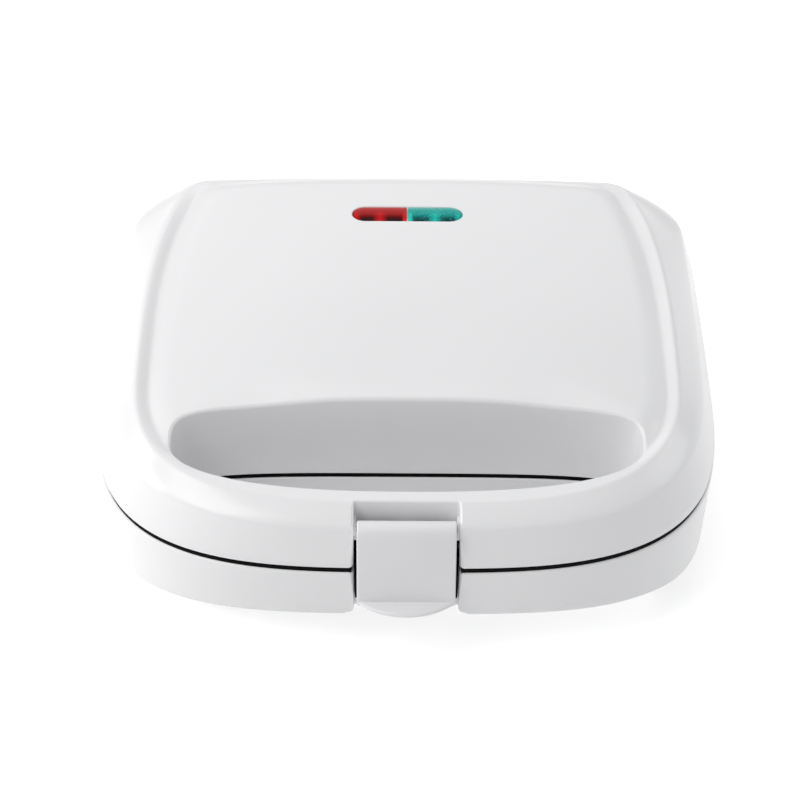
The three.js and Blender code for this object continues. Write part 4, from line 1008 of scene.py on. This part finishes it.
def rubber_skin(name, dark, light):
    mat, nodes, links, shader = material(name)
    where = coordinates(nodes, links)
    dust = noise(nodes, links, where, 260, 5, 0.6)
    links.new(ramp(nodes, links, dust, [(0.3, dark), (0.75, light)]), shader.inputs["Base Color"])
    links.new(spread(nodes, links, dust, 0.6, 0.85), shader.inputs["Roughness"])
    links.new(bump(nodes, links, noise(nodes, links, where, 1500, 2), 0.2, 0.00006), shader.inputs["Normal"])
    return mat


def make_materials():
    return {
        "white_housing": moulded_plastic(
            "white_housing", (0.862, 0.862, 0.87), (0.876, 0.876, 0.884), 0.3, coat=0.25),
        "white_latch": moulded_plastic("white_latch", (0.832, 0.828, 0.84), (0.85, 0.846, 0.858), 0.36),
        "lamp_tray_plastic": moulded_plastic("lamp_tray_plastic", (0.7, 0.7, 0.69), (0.75, 0.75, 0.74), 0.5),
        "black_nylon": moulded_plastic("black_nylon", (0.002, 0.002, 0.0025), (0.005, 0.005, 0.0055), 0.6,
                                       shine=0.05),
        "non_stick": coated_plate("non_stick"),
        "element_steel": metal("element_steel", (0.2, 0.18, 0.16), (0.42, 0.4, 0.38), 0.45),
        "aluminised_sheet": metal("aluminised_sheet", (0.48, 0.49, 0.5), (0.66, 0.67, 0.68), 0.38, (1, 6, 1)),
        "screw_steel": metal("screw_steel", (0.4, 0.4, 0.41), (0.62, 0.62, 0.63), 0.3),
        # Lenses and bulbs: colours from the painted shade at the front edge to the pale rear edge, then the colour
        # of the painted highlights, and for the green lens the share of its bubbles.
        "red_lens": lens_plastic(
            "red_lens", [(0.012, 0.0, 0.001), (0.07, 0.0, 0.001), (0.34, 0.0, 0.001), (0.46, 0.001, 0.003),
                         (0.5, 0.02, 0.022), (0.6, 0.22, 0.22)], (0.85, 0.008, 0.012)),
        "green_lens": lens_plastic(
            "green_lens", [(0.0, 0.03, 0.035), (0.0, 0.1, 0.1), (0.0, 0.32, 0.28), (0.01, 0.38, 0.33),
                           (0.08, 0.48, 0.42), (0.28, 0.6, 0.54)], (0.02, 0.7, 0.58), 0.5),
        "bulb_glass": lens_plastic(
            "bulb_glass", [(0.4, 0.34, 0.3), (0.5, 0.44, 0.4), (0.6, 0.54, 0.48), (0.65, 0.6, 0.54),
                           (0.7, 0.64, 0.58), (0.85, 0.8, 0.75)], (0.8, 0.6, 0.4)),
        "ceramic": moulded_plastic("ceramic", (0.62, 0.6, 0.54), (0.72, 0.7, 0.64), 0.6),
        "bushing_rubber": rubber_skin("bushing_rubber", (0.62, 0.62, 0.62), (0.7, 0.7, 0.7)),
        "foot_rubber": rubber_skin("foot_rubber", (0.02, 0.02, 0.02), (0.05, 0.05, 0.05)),
    }


def paint_nodes(materials):
    slots = {s["node"]: s["material_slot"] for s in frame["record"]["subparts"]}
    for name, obj in frame["nodes"].items():
        obj.data.materials.clear()
        obj.data.materials.append(materials[slots[name]])
        split_edges(obj, 32)


# Indicator lenses


def build_lens(name, side):
    """Half of a pill with a domed face."""
    half, radius, dome = LAMP_HALF + 0.1, LAMP_RADIUS + 0.15, 0.9
    top = SEAM + panel_top(0, LAMP_Y) + 0.2
    steps = 20
    rings = [np.column_stack([pill_ring(half, radius, steps), np.full(2 * steps, LAMP_FOOT)])]
    for turn in np.linspace(0, math.radians(84), 12):
        d = radius * (1 - math.cos(turn))
        z = top - dome * (1 - math.sin(turn))
        rings.append(np.column_stack([pill_ring(half - d, radius - d, steps), np.full(2 * steps, z)]))
    lens = loft(name, rings)
    x0, x1 = sorted((side * LENS_GAP, side * FAR))
    own_side = rectangle(x0, x1, LAMP_Y - 30, LAMP_Y + 30)
    boolean(lens, prism("half", own_side, LAMP_FOOT - 5, top + 5), "INTERSECT")
    return split_edges(lens)


def lamp_divider():
    """The pale rib between the two lenses."""
    half, reach, sunk = 0.24, LAMP_RADIUS + 0.1, 0.5
    top = SEAM + panel_top(0, LAMP_Y) - sunk
    profile = rectangle(LAMP_Y - reach, LAMP_Y + reach, LAMP_FOOT, top)
    return split_edges(slab("lamp_divider", -half, half, profile))


# Stage


def seen_share(nodes, links):
    """1 for a ray from the camera, or one that a glossy or clear surface sends on, and else 0."""
    path = nodes.new("ShaderNodeLightPath")
    seen = calculate(nodes, links, "MAXIMUM", path.outputs["Is Camera Ray"], path.outputs["Is Glossy Ray"])
    return calculate(nodes, links, "MAXIMUM", seen, path.outputs["Is Transmission Ray"])


def build_floor():
    """A pale floor that glows a little where it is seen, and takes the part's shadow."""
    glow_strength = 0.48
    floor = new_object("floor", [(-4, -3, 0), (4, -3, 0), (4, 5, 0), (-4, 5, 0)], [(0, 1, 2, 3)])
    mat, nodes, links, shader = material("floor")
    shader.inputs["Base Color"].default_value = (0.9, 0.9, 0.9, 1)
    shader.inputs["Roughness"].default_value = 0.9
    shader.inputs["Specular IOR Level"].default_value = 0.0
    glow = nodes.new("ShaderNodeEmission")
    glow.inputs["Color"].default_value = (1, 1, 1, 1)
    strength = calculate(nodes, links, "MULTIPLY", seen_share(nodes, links), glow_strength)
    links.new(strength, glow.inputs["Strength"])
    add = nodes.new("ShaderNodeAddShader")
    links.new(shader.outputs[0], add.inputs[0])
    links.new(glow.outputs[0], add.inputs[1])
    links.new(add.outputs[0], nodes["Material Output"].inputs["Surface"])
    floor.data.materials.append(mat)


def build_world():
    """White where it is seen, and a weaker, slightly cool fill for everything else."""
    world = bpy.context.scene.world or bpy.data.worlds.new("world")
    bpy.context.scene.world = world
    world.use_nodes = True
    nodes, links = world.node_tree.nodes, world.node_tree.links
    nodes.clear()
    out = nodes.new("ShaderNodeOutputWorld")
    fill = nodes.new("ShaderNodeBackground")
    fill.inputs["Color"].default_value = (0.98, 0.985, 1, 1)
    fill.inputs["Strength"].default_value = 0.43
    white = nodes.new("ShaderNodeBackground")
    white.inputs["Strength"].default_value = 1.0
    blend = nodes.new("ShaderNodeMixShader")
    links.new(seen_share(nodes, links), blend.inputs["Fac"])
    links.new(fill.outputs[0], blend.inputs[1])
    links.new(white.outputs[0], blend.inputs[2])
    links.new(blend.outputs[0], out.inputs["Surface"])


def area_light(name, location, target, size, power, color=(1, 1, 1)):
    data = bpy.data.lights.new(name, "AREA")
    data.shape = "RECTANGLE"
    data.size, data.size_y = size
    data.energy = power
    data.color = color
    lamp = bpy.data.objects.new(name, data)
    lamp.location = location
    lamp.rotation_euler = (Vector(target) - Vector(location)).to_track_quat("-Z", "Y").to_euler()
    bpy.context.scene.collection.objects.link(lamp)


def build_lights():
    target = (0, 0, 0.05)
    area_light("key", (-0.85, -0.6, 1.15), target, (0.9, 0.9), 8.0, (1, 0.995, 0.985))
    area_light("low_left", (-1.3, 0, 0.45), target, (0.8, 0.6), 5.2)
    area_light("top", (0.1, 0.5, 1.4), target, (1.2, 0.9), 2.0)
    area_light("back", (0, 1.3, 0.7), target, (1.2, 0.6), 1.5)
    area_light("right", (1.25, 0.2, 0.6), target, (0.8, 0.8), 2.9)


def build_camera():
    data = bpy.data.cameras.new("camera")
    data.sensor_width = 36
    data.lens = 135
    camera = bpy.data.objects.new("camera", data)
    place = Matrix.Translation((-0.00375, -0.89156, 0.70953))
    turn = Matrix.Rotation(math.radians(-0.085), 4, "Z") @ Matrix.Rotation(math.radians(53.09), 4, "X")
    camera.matrix_world = place @ turn @ Matrix.Rotation(math.radians(0.39), 4, "Z")
    data.clip_start = 0.05
    bpy.context.scene.collection.objects.link(camera)
    bpy.context.scene.camera = camera


bpy.context.scene.view_settings.view_transform = "Standard"
build_camera()
materials = make_materials()
paint_nodes(materials)
dress(build_lid(), "lid", "white_housing", "lid_shell")
dress(build_base(), "base", "white_housing", "base_shell")
for name, side in SIDES:
    middle = side * HINGE_MIDDLE
    for part, body, start, end, up in LUGS:
        lug = hinge_lug(f"{name}_{part}_hinge_lug", middle + start, middle + end, up)
        dress(lug, body, "white_housing")
dress(build_latch(), "latch", "white_latch", "front_latch")
for name, side in SIDES:
    dress(latch_cheek(f"{name}_latch_cheek", side), "lid", "white_housing")
dress(seam_lip("lid_seam_lip", 1), "lid", "black_nylon")
dress(seam_lip("base_seam_lip", -1), "base", "black_nylon")
dress(build_lens("red_lens", -1), "lid", "red_lens", "red_lamp_lens")
dress(build_lens("green_lens", 1), "lid", "green_lens", "green_lamp_lens")
dress(lamp_divider(), "lid", "white_housing")
build_floor()
build_world()
build_lights()
